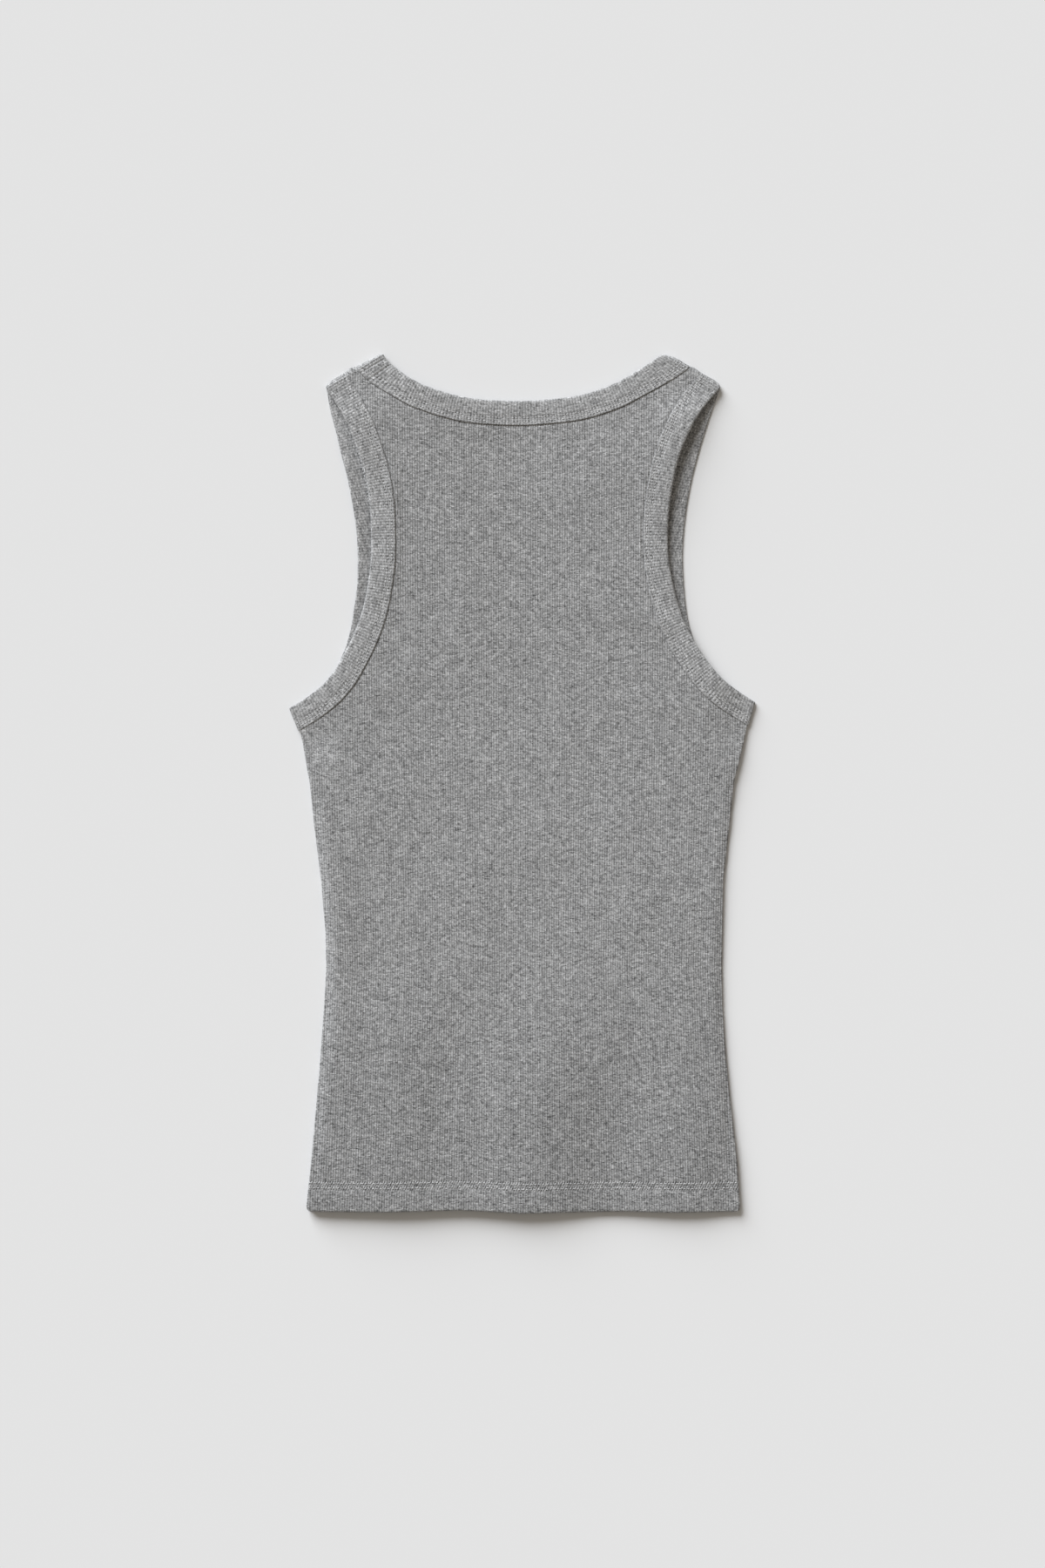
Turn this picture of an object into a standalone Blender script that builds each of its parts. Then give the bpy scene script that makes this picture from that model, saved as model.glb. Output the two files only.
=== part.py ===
"""A women's scoop-neck tank top in fine rib jersey, laid flat on its front with its back up.

X runs across the garment, Y from the hem to the shoulders, and Z up from the surface that it lies on.
Every size here is in millimetres, and the meshes are scaled to metres when they are made.  Left and
right are those of someone who looks down on the back.

Five pieces are cut and sewn: a front and a back panel with turned-up hems, and three bindings, each
one strip that is folded round a raw edge of both panels.  The panels are drawn in plan, cut along
their rib lines, and lifted onto one surface that is lofted through sections from hem to shoulders.
"""

import math

import bmesh
import bpy
import numpy as np
from mathutils import Vector
from mathutils.geometry import delaunay_2d_cdt

METRES = 0.001

# Cloth
WALL = 1.1  # a panel between two ribs
GAP = 0.3  # between pieces that are sewn together
RIB_RISE = 0.3
BODY_RIB = 1.68  # from one rib to the next across the panels
BAND_RIB = 1.95  # and along the bindings
HEM_DEPTH = 17.4
HEM_STEP = 0.8  # over this much the turned-up layer ends

# Bindings, folded round the raw edges
BAND_WIDTH = 17.4
LEAF = 1.0
SLOT = GAP + WALL + RIB_RISE + GAP  # between the two leaves
BAND_THICK = LEAF + SLOT + LEAF
FOLD_ROUND = 1.5  # of the band's folded edge
SLOT_END = 2.5  # from the folded edge to the end of the slot
RAW_EDGE = 3.3  # from the folded edge to the panel's raw edge
STEPS = {"back": 9.0, "front": 13.0}  # between points along a folded edge
SEAM_EASE = 26.1  # over this much a binding swings into line with a turn
BAND_PROFILE = (
    # across from the folded edge, up from the inner leaf's face, has ribs
    (BAND_WIDTH, 0.0, False),
    (FOLD_ROUND, 0.0, False),
    (0.0, BAND_THICK * 0.3, False),
    (0.0, BAND_THICK * 0.7, False),
    (FOLD_ROUND, BAND_THICK, True),
    (BAND_WIDTH, BAND_THICK, True),
    (BAND_WIDTH, BAND_THICK - LEAF, False),
    (SLOT_END, BAND_THICK - LEAF, False),
    (SLOT_END, LEAF, False),
    (BAND_WIDTH, LEAF, False),
)

# Turns from the back to the front, at the shoulders and under the arms
HALF_GAP = 0.175  # from the middle of a turn to the nearest cloth
FOLD_LEVEL = BAND_THICK + HALF_GAP
TURN_RADIUS = HALF_GAP + BAND_THICK
TURN_REACH = 2.4  # from the middle of a turn to the middle of a panel
TURN_STEP = 30  # degrees
STATION_SHARE = 2.0  # of a row's length for each station of a turn, which share one place in plan
SHOULDER_SEAM = 0.5  # between the two panels at the top of the fold
SEAM_REACH = (TURN_REACH * math.pi - SHOULDER_SEAM) / 2  # a panel's length past a turn's middle

# Heights of the panels' outer faces
FRONT_WALL = 1.0
BODY_TOP = FRONT_WALL + GAP + WALL  # the back on the front, with no ribs counted
OVER_BANDS = 4.35  # more than that where the back lies over the front's bindings
FADE = 60.0  # from the raised cloth to the flat cloth
FRONT_FLAT = 21.0  # the front is raised this far in from its bindings' folded edges
FRONT_FADE = 20.0
FRONT_LIFT = BAND_THICK / 2 - 0.5  # to the middle of the slot
HEM_LAYERS = 2.2  # thickness of a turned-up hem

HEM = -303.8
HEM_ENDS = (HEM + HEM_DEPTH - HEM_STEP, HEM + HEM_DEPTH)
FRONT_NECK_DEPTH = 115.0
FRONT_NECK_ROUNDNESS = 2.4
FRONT_NECK_POINTS = 25
BODY_MIDDLE = (0.0, 150.0)
NECK_HOLE = (0.0, 330.0)  # a place in the open neck
ARM_HOLE = (190.0, 190.0)  # and in the open right armhole
GUIDE_REACH = 170.0  # lines drawn across the garment end this far from its middle
FRONT_ROWS = (-160.0, -15.0)  # lines across the front that keep its triangles short
WELD = 0.02  # points nearer than this are one
SHADES = {"back_panel": 0.27, "front_panel": 0.26}
BAND_SHADE = 0.29

SIDES = (
    # height, left edge, right edge
    (HEM, -152.5, 154.0),
    (-300.0, -153.5, 154.8),
    (-270.0, -150.0, 153.0),
    (-230.0, -146.5, 148.5),
    (-195.0, -143.5, 145.0),
    (-160.0, -141.0, 142.5),
    (-130.0, -139.5, 142.0),
    (-105.0, -140.0, 142.5),
    (-70.0, -143.0, 143.0),
    (-30.0, -148.0, 147.5),
    (0.0, -151.0, 150.5),
    (15.0, -153.5, 155.0),
    (28.0, -155.5, 158.5),
)

ARMHOLES = (
    # height, back left, back right, front left, front right
    (265.0, -129.5, 127.5, -136.5, 135.0),
    (250.0, -122.0, 119.0, -132.5, 130.0),
    (235.0, -116.5, 112.5, -129.0, 125.5),
    (220.0, -112.0, 108.5, -125.0, 121.5),
    (200.0, -108.5, 105.0, -121.0, 117.5),
    (180.0, -107.5, 103.5, -118.0, 115.0),
    (160.0, -107.5, 104.0, -117.0, 114.0),
    (140.0, -110.0, 107.5, -117.5, 115.0),
    (125.0, -113.0, 111.5, -119.5, 116.5),
    (110.0, -118.0, 117.5, -122.0, 119.5),
    (95.0, -125.0, 126.0, -126.5, 125.5),
    (80.0, -133.5, 137.0, -133.5, 136.0),
    (70.0, -142.0, 147.5, -142.0, 147.0),
    (62.0, -152.0, 159.0, -152.0, 159.0),
)

BACK_NECK = (
    # across, height
    (-96.0, 300.5),
    (-83.5, 290.5),
    (-71.0, 283.5),
    (-58.5, 279.0),
    (-40.0, 274.2),
    (-20.0, 272.2),
    (0.0, 271.8),
    (20.0, 273.0),
    (40.0, 275.6),
    (58.5, 281.2),
    (71.0, 286.8),
    (83.5, 294.2),
    (92.0, 299.8),
)

CORNERS = (
    # side, neck end of the shoulder, arm end of it, tip under the arm, lower end of the binding
    (-1, (-102.0, 304.5), (-140.0, 282.0), (-166.0, 53.5), (-159.5, 36.0)),
    (1, (102.5, 304.5), (141.5, 282.0), (166.0, 54.0), (163.0, 37.0)),
)

SECTIONS = (
    # height, raised width at each edge, rise over the layers of the hem and of the front's neck
    # binding, left seam ridge, right seam ridge, lift of the right armhole
    (-305.0, -FADE, 2.9, 0.0, 0.0, 0.0),
    (-220.0, -FADE, 0.3, 0.8, 0.4, 0.0),
    (-140.0, -FADE, 0.0, 1.4, 0.8, 0.0),
    (4.0, -FADE, 0.0, 1.4, 0.6, 0.0),
    (28.0, 38.0, 0.0, 0.0, 0.0, 0.0),
    (130.0, 27.0, 0.0, 0.0, 0.0, 0.0),
    (178.0, 25.0, 3.8, 0.0, 0.0, 2.8),
    (225.0, 43.0, 0.0, 0.0, 0.0, 3.4),
    (276.0, 60.0, 0.0, 0.0, 0.0, 0.8),
    (306.0, 60.0, 0.0, 0.0, 0.0, 0.0),
)
RIB_BENDS = (
    # height, how much wider than their pitch the ribs spread there
    (-310.0, 1.05),
    (-130.0, 1.0),
    (28.0, 1.03),
    (310.0, 1.045),
)
SEAM_RIDGE_IN = 15.0  # from the side edge to the crest over the seam allowance
LIFT_FADE = 38.0

FOLDS = (
    # crest at the hem, crest at the top, height of the top, rise, left half-width, right half-width
    (-84.0, -66.0, -160.0, 2.8, 26.0, 44.0),
    (0.0, 52.0, -150.0, 3.2, 34.0, 66.0),
    (112.0, 120.0, -165.0, 2.8, 34.0, 30.0),
)


def smooth(share):
    """0 to 1 with level ends."""
    share = min(max(share, 0.0), 1.0)
    return share * share * (3 - 2 * share)


def between(a, b, share):
    return a + (b - a) * share


def spline(points, step):
    """Points about step apart on a smooth curve through the given points, which it includes."""
    knots = [Vector(p) for p in points]
    knots = [2 * knots[0] - knots[1], *knots, 2 * knots[-1] - knots[-2]]
    curve = []
    for before, start, end, after in zip(knots, knots[1:], knots[2:], knots[3:], strict=False):
        pieces = max(1, round((end - start).length / step))
        for piece in range(pieces):
            t = piece / pieces
            ease_in = (end - before) / 2
            ease_out = (after - start) / 2
            curve.append(
                start * (2 * t**3 - 3 * t**2 + 1)
                + ease_in * (t**3 - 2 * t**2 + t)
                + end * (3 * t**2 - 2 * t**3)
                + ease_out * (t**3 - t**2)
            )
    curve.append(knots[-2])
    return curve


def lengths(curve):
    """The distance along the curve at each of its points."""
    total = [0.0]
    for a, b in zip(curve, curve[1:], strict=False):
        total.append(total[-1] + (b - a).length)
    return total


def read_column(table, height, column):
    """A column of a table whose rows are sorted by height, between its rows."""
    rows = sorted(table)
    return float(np.interp(height, [row[0] for row in rows], [row[column] for row in rows]))


# The four turns: under each arm and at each shoulder the cloth goes round a straight line in plan.


class Turn:
    """A straight line in plan that the bindings go round, a turn's radius inside the outline."""

    def __init__(self, free_corner, seam_corner, middle):
        free, seam = Vector(free_corner), Vector(seam_corner)
        self.along = (seam - free).normalized()
        self.outward = Vector((self.along.y, -self.along.x))
        if self.outward.dot(free - Vector(middle)) < 0:
            self.outward = -self.outward
        self.free = free - self.outward * TURN_RADIUS
        self.seam = seam - self.outward * TURN_RADIUS

    def beyond(self, point):
        return (point - self.free).dot(self.outward)


SHOULDERS = {side: Turn(neck, arm, BODY_MIDDLE) for side, neck, arm, _, _ in CORNERS}
UNDERARMS = {side: Turn(tip, low, BODY_MIDDLE) for side, _, _, tip, low in CORNERS}


def armhole(side, layer):
    """A folded edge of an armhole in plan, from the shoulder down to the side."""
    column = {("back", -1): 1, ("back", 1): 2, ("front", -1): 3, ("front", 1): 4}[layer, side]
    rows = [(row[column], row[0]) for row in ARMHOLES]
    return spline([SHOULDERS[side].seam, *rows, UNDERARMS[side].free], STEPS[layer])


def back_neck():
    return spline([SHOULDERS[-1].free, *BACK_NECK, SHOULDERS[1].free], STEPS["back"])


def front_neck():
    """A deep scoop whose sides start straight down from the shoulders."""
    left, right = SHOULDERS[-1].free, SHOULDERS[1].free
    curve = []
    for k in range(FRONT_NECK_POINTS):
        turn = math.pi * k / (FRONT_NECK_POINTS - 1)
        across = math.copysign(abs(math.cos(turn)) ** (2 / FRONT_NECK_ROUNDNESS), -math.cos(turn))
        curve.append(
            Vector(
                (
                    between(left.x, right.x, (across + 1) / 2),
                    between(left.y, right.y, (across + 1) / 2) - FRONT_NECK_DEPTH * math.sin(turn),
                )
            )
        )
    return curve


NECKS = {"back": back_neck(), "front": front_neck()}
ARMS = {(side, layer): armhole(side, layer) for side in (-1, 1) for layer in ("back", "front")}


# The surface of the back


def fold_rise(x, height):
    """The soft waves that rise from the hem."""
    rise = 0.0
    for hem_x, top_x, top, most, left, right in FOLDS:
        share = (top - height) / (top - HEM)
        if share > 0:
            off = x - between(top_x, hem_x, share)
            rise += most * smooth(share) * (1 - smooth(abs(off) / (left if off < 0 else right)))
    return rise


def section_height(section, x):
    """The back's outer face at one section."""
    height, raised, over_layers, left_ridge, right_ridge, lift = section
    column = 1 if x < 0 else 2
    edge = read_column(ARMHOLES if height > SIDES[-1][0] else SIDES, height, column)
    if height > ARMHOLES[0][0]:
        edge = SHOULDERS[-1 if x < 0 else 1].seam.x
    inside = abs(edge) - abs(x)
    top = BODY_TOP + fold_rise(x, height)
    top += max(over_layers, OVER_BANDS * (1 - smooth((inside - raised) / FADE)))
    ridge = left_ridge if x < 0 else right_ridge
    top += ridge * (1 - smooth(abs(inside - SEAM_RIDGE_IN) / SEAM_RIDGE_IN))
    if x > 0:
        top += lift * (1 - min(max(inside / LIFT_FADE, 0.0), 1.0))
    return top


def back_top(x, y):
    """The back's outer face between its ribs, straight from each section to the next."""
    for low, high in zip(SECTIONS, SECTIONS[1:], strict=False):
        if y <= high[0]:
            share = max(0.0, (y - low[0]) / (high[0] - low[0]))
            return between(section_height(low, x), section_height(high, x), share)
    return section_height(SECTIONS[-1], x)


FRONT_EDGES = np.array([p[:] for p in NECKS["front"] + ARMS[-1, "front"] + ARMS[1, "front"]])


def front_bottom(x, y):
    """The front's outer face: on the surface, but inside the bindings it lies on their lower leaf."""
    away = float(np.hypot(*(FRONT_EDGES - (x, y)).T).min())
    return FRONT_LIFT * (1 - smooth((away - FRONT_FLAT) / FRONT_FADE))


def turned(point, turn, radius, degrees):
    """A place on a turn: degrees from the top, radius from its middle."""
    angle = math.radians(degrees)
    place = point + turn.outward * radius * math.sin(angle)
    return (place.x, place.y, FOLD_LEVEL + radius * math.cos(angle))


# Panels


def rows_across(heights):
    return [[Vector((-GUIDE_REACH, height)), Vector((GUIDE_REACH, height))] for height in heights]


def rib_lines(pitch):
    """Lines up the cloth, pitch apart, that spread as the ribs do."""
    count = math.ceil(GUIDE_REACH / pitch)
    return [
        [Vector((k * pitch * spread, height)) for height, spread in RIB_BENDS]
        for k in range(-count, count + 1)
    ]


def rib_share(x, y):
    """1 on a rib's ridge and 0 in a valley."""
    place = abs(x) / (BODY_RIB * read_column(RIB_BENDS, y, 1)) % 1.0
    return abs(2 * place - 1)


def shoulder_guides():
    """Lines across the straps where they start to turn, and halfway round."""
    lines = []
    for turn in SHOULDERS.values():
        for past in (0.0, SEAM_REACH / 2):
            lines.append([turn.free + turn.outward * past, turn.seam + turn.outward * past])
    return lines


def inside_of(curve, seam, reach):
    """The curve moved in from a folded edge, towards and past the seam."""
    return [a + (b - a) * reach / BAND_WIDTH for a, b in zip(curve, seam, strict=True)]


def panel_outline(layer):
    """The cut panel in plan, from the left corner of the hem round by the right."""
    left = [Vector((row[1], row[0])) for row in SIDES]
    right = [Vector((row[2], row[0])) for row in SIDES]
    arms = {
        side: inside_of(ARMS[side, layer], seam_curve("arm", side, layer), RAW_EDGE) for side in (-1, 1)
    }
    neck = inside_of(NECKS[layer], seam_curve("neck", 0, layer), RAW_EDGE)
    outline = right + [UNDERARMS[1].seam.copy(), *reversed(arms[1])]
    for side, arm_end, neck_end in ((1, arms[1][0], neck[-1]), (-1, neck[0], arms[-1][0])):
        past = SHOULDERS[side].outward * SEAM_REACH
        outline += [arm_end + past, neck_end + past]
        if side == 1:
            outline += list(reversed(neck))
    return outline + [*arms[-1], UNDERARMS[-1].seam.copy(), *reversed(left)]


def seam_curve(place, side, layer):
    """A binding's inner edge in plan, a band's width inside its folded edge."""
    curve = NECKS[layer] if place == "neck" else ARMS[side, layer]
    if place == "neck":
        ends = (SHOULDERS[-1], SHOULDERS[1])
        ways = (ends[0].along, ends[1].along)
    else:
        ends = (SHOULDERS[side], UNDERARMS[side])
        ways = (-ends[0].along, ends[1].along)
    run = lengths(curve)
    seam = []
    for k, point in enumerate(curve):
        ahead = curve[min(k + 1, len(curve) - 1)] - curve[max(k - 1, 0)]
        across = Vector((ahead.y, -ahead.x)).normalized()
        if across.dot(way_in(place, side, point)) < 0:
            across = -across
        for way, off in ((ways[0], run[k]), (ways[1], run[-1] - run[k])):
            across = across.lerp(way, 1 - smooth(off / SEAM_EASE)).normalized()
        seam.append(point + across * BAND_WIDTH)
    return seam


def way_in(place, side, point):
    """Roughly from a folded edge towards the cloth."""
    if place == "neck":
        return point - Vector(NECK_HOLE)
    return point - Vector((side * ARM_HOLE[0], ARM_HOLE[1]))


def in_outline(outline, x, y):
    inside = False
    for a, b in zip(outline, outline[1:] + outline[:1], strict=True):
        if (a.y > y) != (b.y > y) and x < a.x + (b.x - a.x) * (y - a.y) / (b.y - a.y):
            inside = not inside
    return inside


def cut(outline, guides):
    """The outline filled with triangles that follow the guides: (points, triangles, border)."""
    points = list(outline)
    edges = [(k, (k + 1) % len(outline)) for k in range(len(outline))]
    for line in guides:
        edges += [(len(points) + k, len(points) + k + 1) for k in range(len(line) - 1)]
        points += line
    points, _, faces, _, _, _ = delaunay_2d_cdt(points, edges, [], 0, WELD)
    kept = []
    for face in faces:
        middle = sum((points[k] for k in face), Vector((0.0, 0.0))) / 3
        if in_outline(outline, middle.x, middle.y):
            kept.append(tuple(face))
    following = {}
    sides = {(a, b) for f in kept for a, b in zip(f, (*f[1:], f[0]), strict=True)}
    for a, b in sides:
        if (b, a) not in sides:
            following[a] = b
    first = min(following, key=lambda k: (points[k] - outline[0]).length)
    border = [first]
    while following[border[-1]] != first:
        border.append(following[border[-1]])
    return points, kept, border


def shares(border, points):
    """Each border point's share of the way round."""
    run = lengths([points[k] for k in border])
    total = run[-1] + (points[border[0]] - points[border[-1]]).length
    return [place / total for place in run]


def zip_rows(bm, first, second):
    """Triangles between two closed rows of (share of the way round, vertex)."""
    first = [*first, (1.0, first[0][1])]
    second = [*second, (1.0, second[0][1])]
    a = b = 0
    while a < len(first) - 1 or b < len(second) - 1:
        step_a = a < len(first) - 1 and (b == len(second) - 1 or first[a + 1][0] <= second[b + 1][0])
        if step_a:
            bm.faces.new((first[a][1], first[a + 1][1], second[b][1]))
            a += 1
        else:
            bm.faces.new((first[a][1], second[b + 1][1], second[b][1]))
            b += 1


def closed_panel(name, outline, upper_guides, lower_guides, place):
    """A panel between an upper and a lower face; place gives (x, y, z) from a point and a face."""
    bm = bmesh.new()
    rows = []
    for face, guides in (("upper", upper_guides), ("lower", lower_guides)):
        points, triangles, border = cut(outline, guides)
        made = {k: bm.verts.new(place(points[k], face)) for k in sorted({k for t in triangles for k in t})}
        for a, b, c in triangles:
            bm.faces.new((made[a], made[b], made[c]) if face == "upper" else (made[c], made[b], made[a]))
        rows.append([(share, made[k]) for share, k in zip(shares(border, points), border, strict=True)])
    zip_rows(bm, rows[1], rows[0])
    return finish(bm, name)


def shoulder_place(point, layer, level):
    """The place of a panel's point past the middle of a shoulder turn, or None before it."""
    turn = SHOULDERS[-1 if point.x < 0 else 1]
    past = turn.beyond(point)
    if past <= 0.01 or point.y < ARMHOLES[0][0]:
        return None
    degrees = math.degrees(past / TURN_REACH)
    foot = point - turn.outward * past
    return turned(foot, turn, HALF_GAP + level, degrees if layer == "back" else 180 - degrees)


def back_place(point, face):
    rise = RIB_RISE * rib_share(point.x, point.y)
    level = LEAF + GAP + (WALL if face == "upper" else 0.0)
    top = back_top(point.x, point.y)
    wall = HEM_LAYERS if point.y < HEM + HEM_DEPTH - HEM_STEP / 2 else WALL
    flat = (point.x, point.y, top + rise if face == "upper" else top - wall)
    return shoulder_place(point, "back", level) or flat


def front_place(point, face):
    level = BAND_THICK - FRONT_LIFT - (FRONT_WALL if face == "upper" else 0.0)
    bottom = front_bottom(point.x, point.y)
    wall = HEM_LAYERS if point.y < HEM + HEM_DEPTH - HEM_STEP / 2 else FRONT_WALL
    flat = (point.x, point.y, bottom + wall if face == "upper" else bottom)
    return shoulder_place(point, "front", level) or flat


def back_panel():
    """Ribs run up its upper face, and its lower face is plain."""
    both = rows_across([row[0] for row in SECTIONS[1:-1]]) + shoulder_guides()
    upper = rib_lines(BODY_RIB / 2) + both
    lower = rib_lines(BODY_RIB * 5) + both + rows_across(HEM_ENDS)
    return closed_panel("back_panel", panel_outline("back"), upper, lower, back_place)


def front_panel():
    """Plain, because it lies flat on its outer face, and lifted where the bindings carry it."""
    guides = shoulder_guides() + rows_across((*HEM_ENDS, *FRONT_ROWS))
    for place, side in (("neck", 0), ("arm", -1), ("arm", 1)):
        curve = NECKS["front"] if place == "neck" else ARMS[side, "front"]
        seam = seam_curve(place, side, "front")
        for reach in (FRONT_FLAT, FRONT_FLAT + FRONT_FADE / 2, FRONT_FLAT + FRONT_FADE):
            guides.append(inside_of(curve, seam, reach))
    return closed_panel("front_panel", panel_outline("front"), guides, guides, front_place)


# Bindings


def flat_stations(curve, seam, degrees):
    return [(a, b, None, degrees) for a, b in zip(curve, seam, strict=True)]


def turn_stations(free, seam, turn, start, end):
    """Stations between the two ends of a turn, neither of them included."""
    step = TURN_STEP if end > start else -TURN_STEP
    return [(free, seam, turn, degrees) for degrees in range(start + step, end, step)]


def band_place(station, across, level):
    free, seam, turn, degrees = station
    point = free + (seam - free) * across / BAND_WIDTH
    if turn:
        return turned(point, turn, HALF_GAP + level, degrees)
    if degrees == 0:
        return (point.x, point.y, back_top(point.x, point.y) - WALL - GAP - LEAF + level)
    return (point.x, point.y, BAND_THICK - level)


def ring(name, back, back_turn, front, front_turn):
    """A closed binding from its stations: along the back, round a turn, along the front, and round."""
    stations = back + back_turn + front + front_turn
    run = lengths([s[0] for s in stations])
    places = [length + STATION_SHARE * k for k, length in enumerate(run)]
    total = places[-1] + (stations[0][0] - stations[-1][0]).length + STATION_SHARE
    ribs = 2 * round(run[len(back) - 1] / BAND_RIB)
    bm = bmesh.new()
    rows = []
    for across, level, ribbed in BAND_PROFILE:
        row = []
        if ribbed:
            for k in range(ribs + 1):
                at = k * (len(back) - 1) / ribs
                low = min(int(at), len(back) - 2)
                (a, b, _, degrees), (c, d, _, _) = back[low], back[low + 1]
                station = (a.lerp(c, at - low), b.lerp(d, at - low), None, degrees)
                rise = RIB_RISE if k % 2 else 0.0
                place = between(places[low], places[low + 1], at - low)
                row.append((place / total, bm.verts.new(band_place(station, across, level + rise))))
        for k in range(len(back) if ribbed else 0, len(stations)):
            vertex = bm.verts.new(band_place(stations[k], across, level))
            row.append((places[k] / total, vertex))
        rows.append(row)
    for first, second in zip(rows, rows[1:] + rows[:1], strict=True):
        zip_rows(bm, first, second)
    return finish(bm, name)


def neck_band():
    back = flat_stations(NECKS["back"], seam_curve("neck", 0, "back"), 0)
    front = flat_stations(NECKS["front"], seam_curve("neck", 0, "front"), 180)[::-1]
    return ring(
        "neck_band",
        back,
        turn_stations(*back[-1][:2], SHOULDERS[1], 0, 180),
        front,
        turn_stations(*front[-1][:2], SHOULDERS[-1], 180, 0),
    )


def armhole_band(side):
    back = flat_stations(ARMS[side, "back"], seam_curve("arm", side, "back"), 0)
    front = flat_stations(ARMS[side, "front"], seam_curve("arm", side, "front"), 180)[::-1]
    return ring(
        f"armhole_band_{'left' if side < 0 else 'right'}",
        back,
        turn_stations(*back[-1][:2], UNDERARMS[side], 0, 180),
        front,
        turn_stations(*front[-1][:2], SHOULDERS[side], 180, 0),
    )


def jersey(name, shade):
    """Heather grey rib jersey."""
    material = bpy.data.materials.new(name)
    material.use_nodes = True
    shader = material.node_tree.nodes["Principled BSDF"]
    shader.inputs["Base Color"].default_value = (shade, shade, shade, 1.0)
    shader.inputs["Roughness"].default_value = 0.95
    shader.inputs["Metallic"].default_value = 0.0
    return material


def finish(bm, name):
    """One closed body, in metres, with its faces pointing out."""
    bmesh.ops.scale(bm, vec=(METRES, METRES, METRES), verts=bm.verts)
    bmesh.ops.recalc_face_normals(bm, faces=bm.faces)
    mesh = bpy.data.meshes.new(name)
    bm.to_mesh(mesh)
    bm.free()
    made = bpy.data.objects.new(name, mesh)
    bpy.context.collection.objects.link(made)
    return made


def main():
    for old in list(bpy.data.objects):
        bpy.data.objects.remove(old)
    for piece in (back_panel(), front_panel(), neck_band(), armhole_band(-1), armhole_band(1)):
        shade = SHADES.get(piece.name, BAND_SHADE)
        piece.data.materials.append(jersey(f"{piece.name}_jersey", shade))


main()
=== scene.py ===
"""A women's heather grey rib tank top, laid flat on its front with its back up.

X runs across the garment, Y from the hem to the shoulders, and Z up from the surface that it lies on.
The tables and functions work in millimetres, and the meshes are scaled to metres when they are made.
Left and right are those of someone who looks down on the back.
"""

import math
from types import SimpleNamespace

import bmesh
import bpy
import numpy as np
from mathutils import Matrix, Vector
from mathutils.geometry import delaunay_2d_cdt


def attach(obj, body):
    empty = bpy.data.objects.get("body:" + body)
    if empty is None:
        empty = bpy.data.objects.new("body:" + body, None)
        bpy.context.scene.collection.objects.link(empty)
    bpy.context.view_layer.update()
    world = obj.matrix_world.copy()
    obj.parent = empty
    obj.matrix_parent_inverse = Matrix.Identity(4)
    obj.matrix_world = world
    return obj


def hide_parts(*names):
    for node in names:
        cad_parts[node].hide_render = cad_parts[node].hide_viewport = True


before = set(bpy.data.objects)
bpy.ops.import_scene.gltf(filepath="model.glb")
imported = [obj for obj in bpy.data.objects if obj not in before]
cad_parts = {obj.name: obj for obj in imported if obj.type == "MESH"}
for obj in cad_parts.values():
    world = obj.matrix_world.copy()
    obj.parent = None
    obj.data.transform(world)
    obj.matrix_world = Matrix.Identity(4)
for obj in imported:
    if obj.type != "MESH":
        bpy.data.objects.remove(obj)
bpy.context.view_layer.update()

bl_info = {
    "name": "Rib Tank Top",
    "version": (1, 0, 0),
    "blender": (4, 5, 0),
    "location": "View3D > Sidebar > Tank Top",
    "description": "Makes a rib-knit tank top with bound neck and armholes, laid flat",
    "category": "Add Mesh",
}

METRES = 0.001

# Cloth
WALL = 0.85  # a panel between two ribs
GAP = 0.25  # between pieces that are sewn together
HEM_LAYERS = 1.8  # thickness of a turned-up hem
HEM_DEPTH = 17.4
HEM_STEP = 0.8  # over this much the turned-up layer ends
RIB_COLUMNS = 4  # of points for each rib
ROW_STEP = 6.0  # between rows of points up the panels
PLAIN_FOOT = 4 * ROW_STEP  # from the hem to the first of those rows on the faces that have no ribs
PLAIN_TOP = 300.0  # and where the last one is
PLAIN_STEP = 4.2  # between lines up the faces that have no ribs

# Bindings, folded round the raw edges
BAND_WIDTH = 17.4
LEAF = 0.5
BAND_THICK = 2.6
SLOT_END = 2.5  # from the folded edge to the end of the slot
SLOT_POINTS = 6  # along each wall of the slot
SLOT_REACHES = (5.0, 7.0, 9.0, 11.5, 14.5)  # from the folded edge to a panel's lines in the slot
RAW_EDGE = 3.3  # from the folded edge to the panel's raw edge
STEPS = {"back": 9.0, "front": 13.0}  # between points along a folded edge
FINE_STEP = 1.0  # between the points that a binding is measured by
SEAM_EASE = 26.1  # over this much a binding swings into line with a turn
FOLD_ROUND = 1.4  # from the folded edge to where the leaves are level
FOLD_POINTS = 9
FOLD_RIBS = 0.12  # share of the ribs' height round the fold
SHOULDER_END = 3.0  # the bindings' tips stand this much past the neck's corners
SHOULDER_STRETCH = 1.2  # the neck's binding is cut slanting there, and so is wider
JOINS = (3.2, 9.0)  # from the left shoulder to the two lines of the neck binding's join
JOIN_RISE = 0.2
JOIN_SUNK = 0.45
JOIN_ROUND = 2.0  # from each line to where the join has its full height
JOIN_LINE = 0.8  # half the width of each line

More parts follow.
